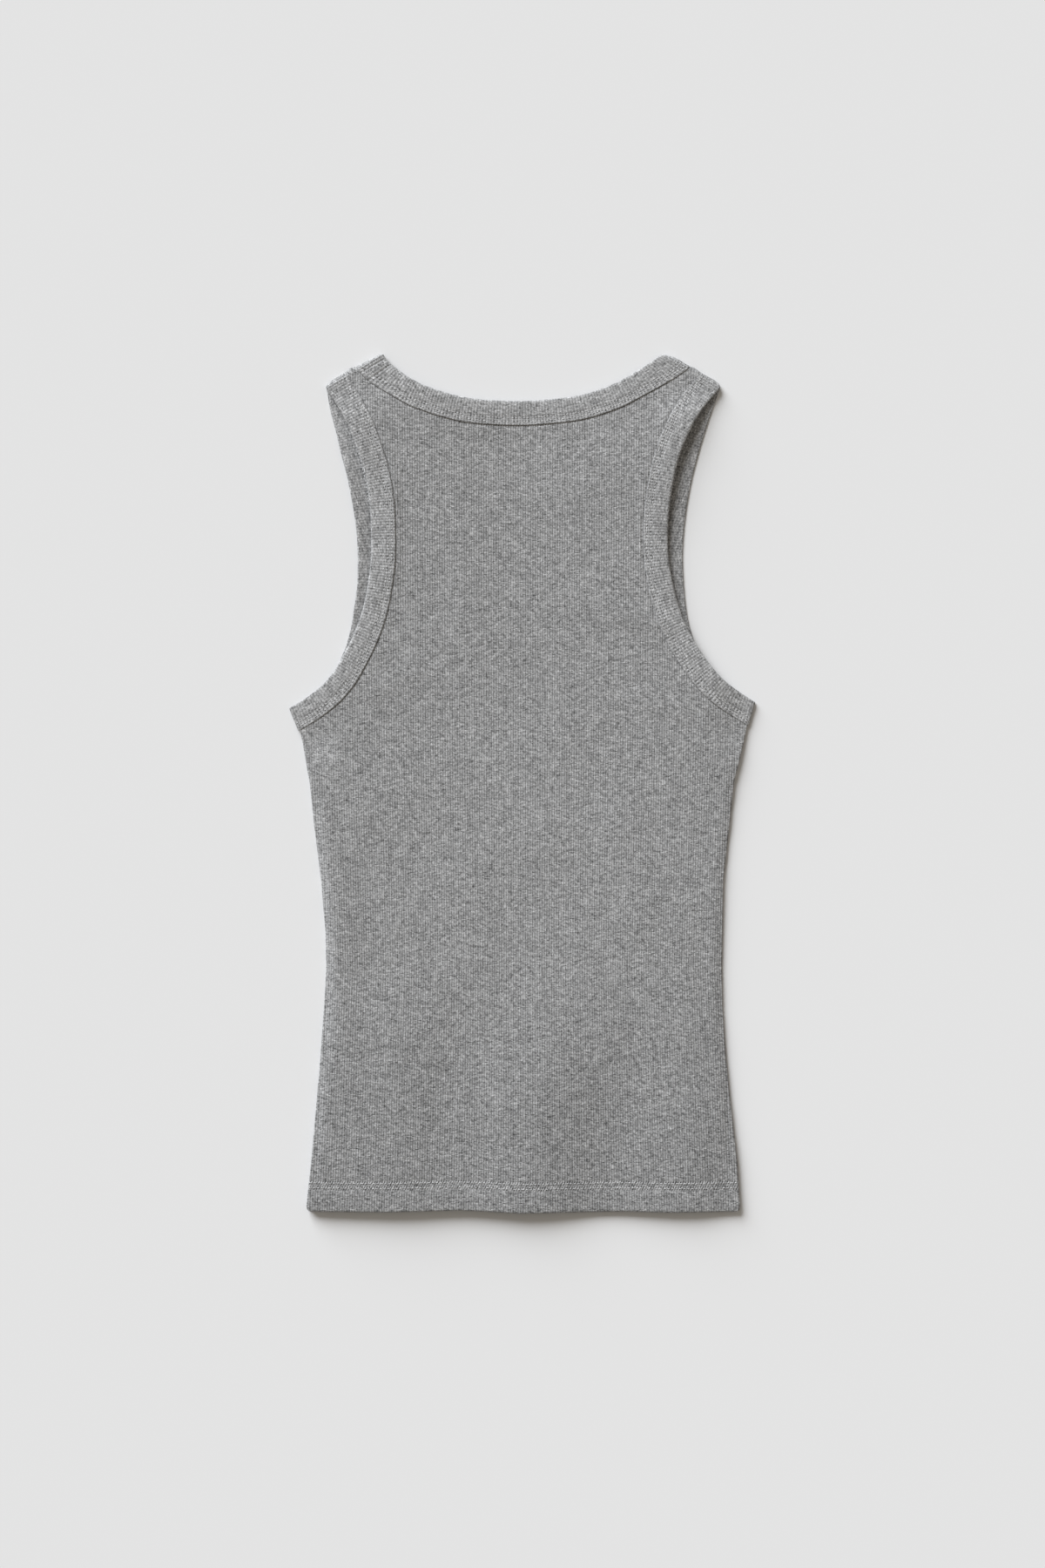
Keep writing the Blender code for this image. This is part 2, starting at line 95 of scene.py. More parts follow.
# Turns from the back to the front, at the shoulders and under the arms
HALF_GAP = 0.175  # from the middle of a turn to the nearest cloth
FOLD_LEVEL = BAND_THICK + HALF_GAP
TURN_RADIUS = HALF_GAP + BAND_THICK
TURN_FLAT = 0.5  # a turn stands out this share of its radius, for it is pressed flat
TURN_REACH = 1.5  # from the middle of a turn to the middle of a panel
TURN_LENGTH = 9.0  # of a binding round a turn
LEAST_STATIONS = 8  # along any stretch of a binding
BAND_RIBS = 0.75  # a binding's ribs are flatter than a panel's
TURN_RIBS = 0.2  # share of that height round a turn
TURN_ROWS = 4  # lines of points across a strap where it goes round
SHOULDER_SEAM = 0.5  # between the two panels at the top of the fold
SEAM_REACH = (TURN_REACH * math.pi - SHOULDER_SEAM) / 2
ON_LINE = 0.01  # places this near a turn's line aren't moved

# Heights of the panels' outer faces
BODY_TOP = WALL + GAP + WALL
OVER_BANDS = BAND_THICK + 2 * HALF_GAP + LEAF - WALL  # more over the front's bindings
DROOP = 10.0  # below the arms the sides droop over this much
LIP_GAP = 0.4
LIP = (1.0, 5.0)  # the front turns up to meet the back's side edge, from the first to the second
FRONT_FLAT = 21.0  # the front is raised this far in from its bindings' folded edges
FRONT_FADE = 20.0
FRONT_LIFT = BAND_THICK / 2 - 0.5
PRESSED = 0.5  # share of its height that the front keeps along its bindings
PRESSED_REACH = (22.0, 46.0)  # from their folded edges, between these it becomes whole
TURN_PRESSED = (0.72, 0.52)  # share that the back keeps at the shoulders and under the arms
TURN_FADE = 34.0
CURL = 2.2  # how far the front's left armhole stands up at its folded edge
CURL_REACH = 14.0
CURL_ENDS = ((95.0, 130.0), (262.0, 222.0))  # heights between which it starts, at each end
FULL_SHARE = 0.7  # a wave has its full height from this share of the way down to the hem
FRONT_FOLLOWS = 0.45  # share of the hem's waves that the front lifts with
EDGE_ROUND = 1.0  # radius of the side and hem edges
EDGE_LINES = (0.25, 0.6, EDGE_ROUND)  # lines of points beside them
EDGE_RIBS = 0.25  # share of the ribs' height at the hem's edge
EDGE_FADE = 2.5  # from there up to where they are whole
LIFT_FADE = 75.0  # from a lifted armhole in

# Outline
HEM = -303.8
HEM_ENDS = (HEM + HEM_DEPTH - HEM_STEP, HEM + HEM_DEPTH)
HEM_LINE = (
    # across, how far the hem's edge lies above a straight line
    (-151.0, -0.3),
    (-99.0, -0.75),
    (-72.0, -0.1),
    (-44.0, 0.6),
    (-25.0, -0.2),
    (-2.0, -1.5),
    (32.0, -1.0),
    (75.0, -0.45),
    (105.0, -1.1),
    (152.0, -0.6),
)
HEM_LINE_FADE = 60.0  # from the hem up
PAINTED_HEM_SHADE_SPAN = (60.0, 200.0)  # from the hem: painted shade darkens the cloth fully up to the first and fades out by the second
FRONT_NECK_DEPTH = 115.0
FRONT_NECK_ROUNDNESS = 2.4
FRONT_NECK_POINTS = 25
BODY_MIDDLE = (0.0, 150.0)
LAYERS = ("back", "front")
BINDINGS = (
    # place, side, piece, the solid that it replaces
    ("neck", 0, "neck_binding", "neck_band"),
    ("arm", -1, "armhole_binding_left", "armhole_band_left"),
    ("arm", 1, "armhole_binding_right", "armhole_band_right"),
)
NECK_HOLE = (0.0, 330.0)  # a place in the open neck
ARM_HOLE = (190.0, 190.0)  # and in the open right armhole
GUIDE_REACH = 170.0  # lines drawn across the garment end this far from its middle
WELD = 0.02  # points nearer than this are one
SHARP = math.radians(65)  # a steeper angle between faces is drawn as an edge

# Sewing
HEM_ROWS = (16.9, 20.4)  # from the hem's edge to its two rows of stitches
BAND_ROWS = (12.15, 15.0)  # from a binding's folded edge to its two rows
STITCH_BEAD = {"Segments": 8, "Rings": 5, "Radius": 0.5}  # one stitch, before it gets its sizes
STITCH_SKEW = 0.16  # radians that a stitch turns from its row at most
STITCH_GROWTH = ((0.88, 0.85, 0.85), (1.08, 1.15, 1.15))  # least and most of its sizes
ROW_SUNK = 0.15  # how far the thread pulls the cloth in
ROW_WIDTH = 1.3  # of the groove that each row makes
ROW_ENDS = 1.5  # a hem's rows start and end this far from the sides
ROW_POINTS = 1.0  # between the points of a hem's row
BAND_ROW_SUNK = 0.3
ROW_ON_RIBS = {"hem": 0.3, "band": 0.45}  # share of the ribs' height at which the thread lies
PULLED = 1.75  # a row changes the ribs this far to each side of it
PULLED_BAND = 0.9  # and this far on a binding
PULLED_RISE = 0.4  # share of a rib's height that is left there
PUFF = 0.3  # a panel swells this much beside a binding's inner edge
PUFF_START = (0.3, 2.2)  # from the edge to the foot and the top of the swelling
PUFF_END = 9.0

# Looks
NOISE_DETAIL = 2.0
SEWN_CHANGE = 0.11  # how fast the rows' pull changes along them, for each mm
SEWN_UNEVEN = (3.0, -0.7)  # what that noise is multiplied by, and what is added to it
ROW_STRENGTH = 1.6  # how fast that pull grows towards a row
LEAST_SEWN = 0.3  # share of it that is always there
HOLE_EDGE = 0.55  # share of a ridge below which painted shade darkens the holes at a row of stitches
YARN_CHANGE = (0.3, 7.31)  # how fast the yarn's shade changes, for each mm across and each row of loops
FIBRE_CHANGE = (1.9, 1.3)  # how fast the fibres' shade changes, for each mm across and along a rib
FIBRE_NOISE = (1.5, 0.6)  # its scale and roughness
CLOUD_CHANGE = (0.07, 0.16)  # and the patches' shade
VEE_SHARE = 0.35  # of the loops in the depth of the surface
FIBRE_SHARE = 0.9  # of the fibres in it
BUMP_STRENGTH = 0.6
CLOTH_SURFACE = {
    "Roughness": 0.92,
    "Specular IOR Level": 0.25,
    "Sheen Weight": 0.1,
    "Sheen Roughness": 0.6,
}
THREAD_SPECKS = 900.0  # specks in a metre of thread
THREAD_SHADES = ((0.35, 0.72), (0.65, 1.25))  # where the specks' shade starts and ends, and how bright
THREAD_SURFACE = {"Roughness": 0.7}
FLOOR_SURFACE = {"Roughness": 1.0, "Specular IOR Level": 0.0}

# Stage, in metres
FLOOR_LEVEL = -0.0002
CAMERA_PLACE = (0.0002, -0.0005)

SIDES = (
    # height, left edge, right edge
    (HEM, -150.4, 152.4),
    (-303.3, -151.9, 153.7),
    (-302.3, -152.8, 154.4),
    (-300.0, -153.5, 154.8),
    (-270.0, -150.0, 153.0),
    (-230.0, -146.5, 148.5),
    (-195.0, -143.5, 145.0),
    (-160.0, -141.0, 142.5),
    (-130.0, -139.5, 142.0),
    (-105.0, -140.0, 142.5),
    (-70.0, -143.0, 143.0),
    (-30.0, -148.0, 147.5),
    (0.0, -151.0, 150.5),
    (15.0, -153.8, 154.3),
    (28.0, -156.0, 157.3),
    (33.5, -157.2, 158.3),
)

ARMHOLES = (
    # height, back left, back right, front left, front right
    (265.0, -129.5, 127.5, -136.5, 135.0),
    (250.0, -122.0, 119.0, -132.5, 130.0),
    (235.0, -116.5, 112.5, -129.0, 125.5),
    (220.0, -112.0, 108.5, -125.0, 121.5),
    (200.0, -108.5, 105.0, -121.0, 117.5),
    (180.0, -107.5, 103.5, -118.0, 115.0),
    (160.0, -107.5, 104.0, -117.0, 114.0),
    (140.0, -110.0, 107.5, -117.5, 115.0),
    (125.0, -113.0, 111.5, -119.5, 116.5),
    (110.0, -118.0, 117.5, -122.0, 119.5),
    (95.0, -125.0, 126.0, -126.5, 125.5),
    (80.0, -133.5, 137.0, -133.5, 136.0),
    (70.0, -142.0, 147.5, -142.0, 147.0),
    (62.0, -152.0, 159.0, -152.0, 159.0),
)

BACK_NECK = (
    # across, height
    (-96.0, 300.5),
    (-83.5, 290.5),
    (-71.0, 283.5),
    (-58.5, 279.0),
    (-40.0, 274.2),
    (-20.0, 272.2),
    (0.0, 271.8),
    (20.0, 273.0),
    (40.0, 275.6),
    (58.5, 281.2),
    (71.0, 286.8),
    (83.5, 294.2),
    (92.0, 299.8),
)

CORNERS = (
    # side, neck end of the shoulder, arm end of it, tip under the arm, lower end of the binding
    (-1, (-102.0, 304.5), (-140.0, 282.0), (-166.0, 53.5), (-158.4, 34.8)),
    (1, (102.5, 304.5), (141.5, 282.0), (166.0, 57.8), (160.6, 39.2)),
)

SHOULDER_WAVES = (
    # from the neck's end, how far the left shoulder bulges, and the right one
    (-3.0, -1.9, -2.0),
    (-1.5, -0.5, -0.7),
    (0.0, 0.1, 0.2),
    (3.0, 0.2, 1.2),
    (7.0, 0.3, 1.7),
    (11.0, 0.8, 1.75),
    (15.0, 0.9, 1.5),
    (18.0, 1.6, 1.7),
    (22.0, 2.8, 2.5),
    (26.0, 2.0, 2.1),
    (29.0, 1.5, 1.5),
    (34.0, 1.9, 1.7),
    (38.0, 1.7, 1.9),
    (41.0, 1.3, 1.6),
    (43.0, 0.5, 0.9),
    (45.0, -0.9, -0.8),
)

SECTIONS = (
    # height, left and right rise beside the edges, width of the risen strip, width over which it
    # fades, share that droops at the left edge and at the right one, rise of the middle, rise over the
    # layers of the hem and of the front's neck binding, lift of the left armhole and of the right one
    (-305.0, (2.2, 2.0), 9.0, 24.0, (1.0, 1.0), 2.0, 2.0, (0.0, 0.0)),
    (-284.0, (2.2, 1.8), 9.0, 24.0, (1.0, 1.0), 2.0, 1.9, (0.0, 0.0)),
    (-220.0, (2.4, 1.6), 10.0, 26.0, (1.0, 1.0), 1.7, 0.4, (0.0, 0.0)),
    (-140.0, (3.5, 1.7), 9.0, 22.0, (1.0, 1.0), 2.6, 0.2, (0.0, 0.0)),
    (-50.0, (3.3, 1.5), 11.0, 30.0, (0.95, 0.85), 2.5, 0.2, (0.0, 0.0)),
    (-20.0, (3.0, 1.6), 17.0, 60.0, (0.7, 0.6), 2.4, 0.2, (0.0, 0.0)),
    (6.0, (2.8, 1.9), 22.0, 80.0, (0.25, 0.4), 2.2, 0.3, (0.0, 0.0)),
    (32.0, (OVER_BANDS, OVER_BANDS), 34.0, 90.0, (0.0, 0.0), 2.0, 1.4, (0.0, 0.0)),
    (130.0, (2.5, 2.5), 27.0, 90.0, (0.05, 0.14), 2.0, 1.7, (0.1, 0.2)),
    (178.0, (2.5, 2.5), 25.0, 90.0, (0.05, 0.25), 2.1, 2.0, (0.2, 1.0)),
    (225.0, (OVER_BANDS, OVER_BANDS), 43.0, 90.0, (0.05, 0.28), 1.5, 1.5, (0.6, 2.9)),
    (256.0, (OVER_BANDS, OVER_BANDS), 55.0, 90.0, (0.05, 0.2), 1.0, 1.0, (0.8, 2.8)),
    (284.0, (OVER_BANDS, OVER_BANDS), 60.0, 90.0, (0.0, 0.0), 0.8, 0.8, (0.0, 0.0)),
    (306.0, (OVER_BANDS, OVER_BANDS), 60.0, 90.0, (0.0, 0.0), 0.6, 0.6, (0.0, 0.0)),
)

FOLDS = (
    # crest at the hem, crest at the top, height of the top, rise, left half-width, right half-width
    (-84.0, -104.0, -115.0, 4.0, 120.0, 68.0),
    (0.0, 34.0, -105.0, 4.5, 76.0, 66.0),
    (116.0, 120.0, -150.0, 2.5, 76.0, 34.0),
)

CREASES = (
    # start across, start height, end across, end height, rise, half-width
    (112.0, 108.0, 48.0, 128.0, 0.7, 13.0),
    (126.0, 50.0, 70.0, 62.0, 0.6, 9.0),
    (-118.0, 62.0, -62.0, 84.0, 0.5, 12.0),
    (-60.0, -40.0, -20.0, -150.0, 0.5, 26.0),
    (60.0, -10.0, 88.0, -120.0, 0.6, 24.0),
    (-92.0, 232.0, -95.0, 128.0, 0.8, 9.0),
    (20.0, 60.0, 34.0, -60.0, 0.4, 30.0),
    (-30.0, 200.0, -44.0, 90.0, 0.35, 24.0),
)

SOFT_WAVES = (
    # waves in a metre across, waves in a metre up, height, start
    (7.0, 3.0, 0.10, 0.4),
    (-11.0, 6.0, 0.07, 2.1),
    (5.0, -12.0, 0.08, 4.0),
    (17.0, 5.0, 0.05, 1.2),
)

RIB_BENDS = (
    # height, how much wider than their pitch the ribs spread there
    (-310.0, 1.05),
    (-130.0, 1.0),
    (28.0, 1.03),
    (310.0, 1.045),
)

LEAF_FACE = (
    # from the folded edge, how far below the leaf's face, share of the ribs' rise
    (1.6, 0.02, 0.5),
    (2.6, 0.0, 1.0),
    (7.5, 0.03, 1.0),
    (10.0, 0.05, 0.95),
    (11.5, 0.1, 0.7),
    (12.15, 0.3, 0.4),
    (12.8, 0.14, 0.5),
    (13.6, 0.1, 0.5),
    (14.4, 0.14, 0.5),
    (15.0, 0.32, 0.4),
    (15.6, 0.16, 0.5),
    (16.4, 0.08, 0.6),
    (17.15, 0.1, 0.5),
    (17.4, 0.22, 0.3),
)


def mm(metres):
    return metres / METRES


def array(points):
    """The points as the rows of an array."""
    return np.array([p[:] for p in points])


def run_along(points):
    """The distance along a line at each of an array's points."""
    return np.concatenate([[0.0], np.cumsum(np.hypot(*np.diff(points, axis=0).T))])


def smooth(share):
    """0 to 1 with level ends."""
    share = np.clip(share, 0.0, 1.0)
    return share * share * (3 - 2 * share)


def fade_in(value, start, end):
    """0 up to the start, 1 from the end on, and a smooth rise between them."""
    return smooth((value - start) / (end - start))


def fade_out(distance, reach):
    """1 at no distance, and 0 from the reach on."""
    return 1 - smooth(distance / reach)


def between(a, b, share):
    """The value at this share of the way from a to b."""
    return a + (b - a) * share


def eased(start, leave, end, arrive, t):
    """A smooth way from start to end as t goes from 0 to 1, with these slopes at its ends."""
    return (
        start * (2 * t**3 - 3 * t**2 + 1)
        + leave * (t**3 - 2 * t**2 + t)
        + end * (3 * t**2 - 2 * t**3)
        + arrive * (t**3 - t**2)
    )


def spline(points, step):
    """Points about step apart on a smooth curve through the given points, which it includes."""
    knots = [Vector(p) for p in points]
    knots = [2 * knots[0] - knots[1], *knots, 2 * knots[-1] - knots[-2]]
    curve = []
    for before, start, end, after in zip(knots, knots[1:], knots[2:], knots[3:], strict=False):
        pieces = max(1, round((end - start).length / step))
        leave, arrive = (end - before) / 2, (after - start) / 2
        curve += [eased(start, leave, end, arrive, piece / pieces) for piece in range(pieces)]
    curve.append(knots[-2])
    return curve


def lengths(curve):
    """The distance along the curve at each of its points."""
    total = [0.0]
    for a, b in zip(curve, curve[1:], strict=False):
        total.append(total[-1] + (b - a).length)
    return total


def read_column(table, height, column):
    """A column of a table whose rows are sorted by height, between its rows."""
    rows = sorted(table)
    return np.interp(height, [row[0] for row in rows], [row[column] for row in rows])


# The four turns: under each arm and at each shoulder the cloth goes round a straight line in plan.


class Turn:
    """A straight line in plan that the bindings go round, a turn's radius inside the outline."""

    def __init__(self, free_corner, seam_corner, middle):
        free, seam = Vector(free_corner), Vector(seam_corner)
        self.along = (seam - free).normalized()
        self.outward = Vector((self.along.y, -self.along.x))
        if self.outward.dot(free - Vector(middle)) < 0:
            self.outward = -self.outward
        self.free = free - self.outward * TURN_RADIUS * TURN_FLAT
        self.seam = seam - self.outward * TURN_RADIUS * TURN_FLAT

    def split(self, x, y):
        """How far along the turn, and how far out past its line, each place is."""
        x, y = x - self.free.x, y - self.free.y
        return x * self.along.x + y * self.along.y, x * self.outward.x + y * self.outward.y


def past_neck(neck, arm):
    """The shoulder's neck corner, moved on to where the binding's tip stands."""
    neck = Vector(neck)
    return neck + (neck - Vector(arm)).normalized() * SHOULDER_END


SHOULDERS = {
    side: Turn(past_neck(neck, arm), arm, BODY_MIDDLE) for side, neck, arm, _, _ in CORNERS
}
UNDERARMS = {side: Turn(tip, low, BODY_MIDDLE) for side, _, _, tip, low in CORNERS}


def armhole(side, layer):
    """A folded edge of an armhole in plan, from the shoulder down to the side."""
    column = {("back", -1): 1, ("back", 1): 2, ("front", -1): 3, ("front", 1): 4}[layer, side]
    rows = [(row[column], row[0]) for row in ARMHOLES]
    return spline([SHOULDERS[side].seam, *rows, UNDERARMS[side].free], STEPS[layer])


def back_neck():
    """A shallow curve from shoulder to shoulder."""
    return spline([SHOULDERS[-1].free, *BACK_NECK, SHOULDERS[1].free], STEPS["back"])


def front_neck():
    """A deep scoop whose sides start straight down from the shoulders."""
    left, right = SHOULDERS[-1].free, SHOULDERS[1].free
    curve = []
    for k in range(FRONT_NECK_POINTS):
        turn = math.pi * k / (FRONT_NECK_POINTS - 1)
        across = math.copysign(abs(math.cos(turn)) ** (2 / FRONT_NECK_ROUNDNESS), -math.cos(turn))
        share = (across + 1) / 2
        height = between(left.y, right.y, share) - FRONT_NECK_DEPTH * math.sin(turn)
        curve.append(Vector((between(left.x, right.x, share), height)))
    return curve


def folded_edge(place, side, layer):
    """A binding's folded edge in plan."""
    if place == "arm":
        return armhole(side, layer)
    return back_neck() if layer == "back" else front_neck()


EDGES = {(*ring[:2], layer): folded_edge(*ring[:2], layer) for ring in BINDINGS for layer in LAYERS}
FRONT_EDGES = array(point for key, edge in EDGES.items() if key[2] == "front" for point in edge)
CURLED_EDGE = array(spline(EDGES["arm", -1, "front"], FINE_STEP))


def end_turns(place, side):
    """The turns that a binding's folded edge starts and ends at."""
    return (SHOULDERS[-1], SHOULDERS[1]) if place == "neck" else (SHOULDERS[side], UNDERARMS[side])


def way_in(place, side, point):
    """Roughly from a folded edge towards the cloth."""
    if place == "neck":
        return point - Vector(NECK_HOLE)
    return point - Vector((side * ARM_HOLE[0], ARM_HOLE[1]))


def seam_curve(place, side, layer):
    """A binding's inner edge in plan, a band's width inside its folded edge."""
    curve = EDGES[place, side, layer]
    first, last = end_turns(place, side)
    ways = (first.along if place == "neck" else -first.along, last.along)
    run = lengths(curve)
    seam = []
    for k, point in enumerate(curve):
        ahead = curve[min(k + 1, len(curve) - 1)] - curve[max(k - 1, 0)]
        across = Vector((ahead.y, -ahead.x)).normalized()
        if across.dot(way_in(place, side, point)) < 0:
            across = -across
        width = BAND_WIDTH
        for way, off in ((ways[0], run[k]), (ways[1], run[-1] - run[k])):
            near = float(fade_out(off, SEAM_EASE))
            across = across.lerp(way, near).normalized()
            if place == "neck":
                width *= between(1, SHOULDER_STRETCH, near)
        seam.append(point + across * width)
    return seam


SEAMS = {key: seam_curve(*key) for key in EDGES}


def inside_of(place, side, layer, reach):
    """A folded edge moved in, towards and past its seam."""
    pairs = zip(EDGES[place, side, layer], SEAMS[place, side, layer], strict=True)
    return [a + (b - a) * reach / BAND_WIDTH for a, b in pairs]


def seam_lines(layer):
    """The inner edges of the three bindings on a panel, on past the shoulders: (points, ways out)."""
    lines = []
    for place, side, _, _ in BINDINGS:
        curve, seam = EDGES[place, side, layer], SEAMS[place, side, layer]
        ways = [(b - a) / BAND_WIDTH for a, b in zip(curve, seam, strict=True)]
        first, last = (turn.outward * 2 * SEAM_REACH for turn in end_turns(place, side))
        points = [seam[0] + first, *seam, seam[-1] + last]
        lines.append((array(points), array([ways[0], *ways, ways[-1]])))
    return lines


SEAM_LINES = {layer: seam_lines(layer) for layer in LAYERS}


def off_seams(x, y, layer):
    """How far out a point of a panel is from the nearest binding's inner edge, below 0 inside it."""
    least = np.full(x.shape, np.inf)
    off = least.copy()
    for points, ways in SEAM_LINES[layer]:
        for a, b, way in zip(points, points[1:], ways, strict=False):
            run = b - a
            t = np.clip(((x - a[0]) * run[0] + (y - a[1]) * run[1]) / (run @ run), 0.0, 1.0)
            dx, dy = x - a[0] - t * run[0], y - a[1] - t * run[1]
            away = np.hypot(dx, dy)
            closer = away < least
            least = np.where(closer, away, least)
            off = np.where(closer, np.copysign(away, dx * way[0] + dy * way[1]), off)
    return off


def puff(x, y, layer):
    """How much a panel swells beside a binding's inner edge."""
    off = off_seams(x, y, layer)
    foot, top = PUFF_START
    return PUFF * fade_in(off, foot, top) * fade_out(off - top, PUFF_END - top)


# The surface of the back


def fold_rise(x, y):
    """The soft waves that rise from the hem."""
    rise = np.zeros_like(x)
    for hem_x, top_x, top, most, left, right in FOLDS:
        share = np.clip((top - y) / (top - HEM), 0.0, None)
        off = x - between(top_x, hem_x, share)
        width = np.where(off < 0, left, right)
        rise += most * smooth(share / FULL_SHARE) * fade_out(np.abs(off), width)
    return rise


def crease_rise(x, y):
    """Low creases with soft ends."""
    rise = np.zeros_like(x)
    for x0, y0, x1, y1, most, width in CREASES:
        length = math.hypot(x1 - x0, y1 - y0)
        along_x, along_y = (x1 - x0) / length, (y1 - y0) / length
        along = ((x - x0) * along_x + (y - y0) * along_y) / length
        off = np.abs((x - x0) * along_y - (y - y0) * along_x)
        rise += most * smooth(2 - np.abs(4 * along - 2)) * fade_out(off, width)
    return rise


def wave_rise(x, y):
    """The slight unevenness of cloth that nobody has pressed."""
    turn = 2 * math.pi * METRES
    return sum(most * (1 + np.sin((a * x + b * y) * turn + start)) for a, b, most, start in SOFT_WAVES)


def section_height(section, x):
    """The back's outer face at one section."""
    height, rises, width, fade, droops, middle, layers, lifts = section
    table = ARMHOLES if height > SIDES[-1][0] else SIDES
    left, right = (float(read_column(table, height, column)) for column in (1, 2))
    if height > ARMHOLES[0][0]:
        left, right = SHOULDERS[-1].seam.x, SHOULDERS[1].seam.x
    inside = np.where(x < 0, x - left, right - x)
    rise, droop, lift = (np.where(x < 0, *pair) for pair in (rises, droops, lifts))
    rise = between(rise, middle, smooth((inside - width) / fade))
    rise = rise * between(1, np.sin(math.pi / 2 * np.clip(inside / DROOP, 0.0, 1.0)), droop)
    lift = lift * (1 - np.clip(inside / LIFT_FADE, 0.0, 1.0))
    return BODY_TOP + np.maximum(layers, rise) + lift


def back_top(x, y):
    """The back's outer face between its ribs, on smooth curves from section to section."""
    x, y = np.asarray(x, float), np.asarray(y, float)
    at = np.array([row[0] for row in SECTIONS])
    spans = np.diff(at)[:, None]
    heights = np.array([section_height(row, x) for row in SECTIONS])
    climbs = np.diff(heights, axis=0) / spans
    below, above = climbs[:-1], climbs[1:]
    turns = below * above <= 0
    inner = np.where(turns, 0.0, 2 * below * above / np.where(turns, 1.0, below + above))
    ends = np.zeros_like(heights[:1])
    slopes = np.concatenate([ends, inner, ends])
    low = np.clip(np.searchsorted(at, y) - 1, 0, len(at) - 2)
    span = spans[low, 0]
    t = np.clip((y - at[low]) / span, 0.0, 1.0)

    def pick(values, row):
        return np.take_along_axis(values, row[None], axis=0)[0]

    (start, leave), (end, arrive) = (
        (pick(heights, row), pick(slopes, row) * span) for row in (low, low + 1)
    )
    return eased(start, leave, end, arrive, t) + fold_rise(x, y) + crease_rise(x, y) + wave_rise(x, y)


def nearest(x, y, edge):
    """How far each place is from the nearest of the edge's points."""
    away = np.full(np.shape(x), np.inf)
    for edge_x, edge_y in edge:
        away = np.minimum(away, np.hypot(x - edge_x, y - edge_y))
    return away


def pressed(x, y, around):
    """The share of its height that the cloth keeps; around is 0 on the back and 1 on the front."""
    front = between(PRESSED, 1, fade_in(nearest(x, y, FRONT_EDGES), *PRESSED_REACH))
    back = np.ones_like(x)
    for turns, kept in zip((SHOULDERS, UNDERARMS), TURN_PRESSED, strict=True):
        for turn in turns.values():
            along, off = turn.split(x, y)
            past = along - np.clip(along, 0.0, (turn.seam - turn.free).length)
            back = back * between(kept, 1, smooth(np.hypot(past, off) / TURN_FADE))
    return between(back, front, around)


def curl(x, y):
    """How far the front stands up along its left armhole."""
    low, high = (fade_in(y, *ends) for ends in CURL_ENDS)
    here = (x < 0) & (low * high > 0)
    rise = np.zeros_like(x)
    rise[here] = CURL * fade_out(nearest(x[here], y[here], CURLED_EDGE), CURL_REACH)
    return rise * low * high


def front_bottom(x, y):
    """The front's outer face: on the surface, but inside the bindings it lies on their lower leaf."""
    x, y = np.asarray(x, float), np.asarray(y, float)
    lift = FRONT_LIFT * fade_out(nearest(x, y, FRONT_EDGES) - FRONT_FLAT, FRONT_FADE)
    return lift + FRONT_FOLLOWS * fold_rise(x, y)


def rib_share(ribs):
    """1 on a rib's ridge and 0 in a valley, from the count of ribs."""
    return 0.5 + 0.5 * np.cos(2 * math.pi * ribs)


def body_ribs(x, y, pitch):
    """How many ribs from the middle of a panel."""
    return x / (pitch * read_column(RIB_BENDS, y, 1))


def from_sides(x, y):
    """How far inside the nearer side each place is."""
    return np.minimum(x - read_column(SIDES, y, 1), read_column(SIDES, y, 2) - x)


def outline_sink(x, y):
    """How far a panel's face sinks where its side and hem edges are rounded, and 0 elsewhere."""
    away = np.where(y > SIDES[-1][0], EDGE_ROUND, np.minimum(from_sides(x, y), y - HEM))
    inside = np.clip(1 - away / EDGE_ROUND, 0.0, 1.0)
    return EDGE_ROUND * (1 - np.sqrt(1 - inside**2))


def row_sink(y):
    """The grooves that the hem's stitches pull in."""
    return sum(ROW_SUNK * fade_out(np.abs(y - HEM - row), ROW_WIDTH) for row in HEM_ROWS)


def row_flatten(y):
    """The share of the ribs' height that the hem's stitches and its edge leave."""
    middle = HEM + sum(HEM_ROWS) / len(HEM_ROWS)
    by_stitches = 1 - (1 - PULLED_RISE) * (1 - smooth(np.abs(y - middle) / 2 / PULLED - 0.5))
    return by_stitches * between(EDGE_RIBS, 1, smooth((y - HEM) / EDGE_FADE))


# Panels


def rows_across(heights):
    """Lines straight across the garment at these heights."""
    return [[Vector((-GUIDE_REACH, height)), Vector((GUIDE_REACH, height))] for height in heights]


def rib_lines(pitch):
    """Lines up the cloth, pitch apart, that spread as the ribs do."""
    count = math.ceil(GUIDE_REACH / pitch)
    return [
        [Vector((k * pitch * spread, height)) for height, spread in RIB_BENDS]
        for k in range(-count, count + 1)
    ]


def shoulder_guides():
    """Lines across the straps where they start to turn, and on round."""
    lines = []
    for turn in SHOULDERS.values():
        for row in range(TURN_ROWS):
            past = turn.outward * SEAM_REACH * row / TURN_ROWS
            lines.append([turn.free + past, turn.seam + past])
    return lines


def panel_outline(layer):
    """The cut panel in plan, from the left corner of the hem round by the right."""
    left = [Vector((row[1], row[0])) for row in SIDES]
    right = [Vector((row[2], row[0])) for row in SIDES]
    arms = {side: inside_of("arm", side, layer, RAW_EDGE) for side in (-1, 1)}
    neck = inside_of("neck", 0, layer, RAW_EDGE)
    outline = right + [UNDERARMS[1].seam.copy(), *reversed(arms[1])]
    for side, arm_end, neck_end in ((1, arms[1][0], neck[-1]), (-1, neck[0], arms[-1][0])):
        past = SHOULDERS[side].outward * SEAM_REACH
        outline += [arm_end + past, neck_end + past]
        if side == 1:
            outline += list(reversed(neck))
    return outline + [*arms[-1], UNDERARMS[-1].seam.copy(), *reversed(left)]


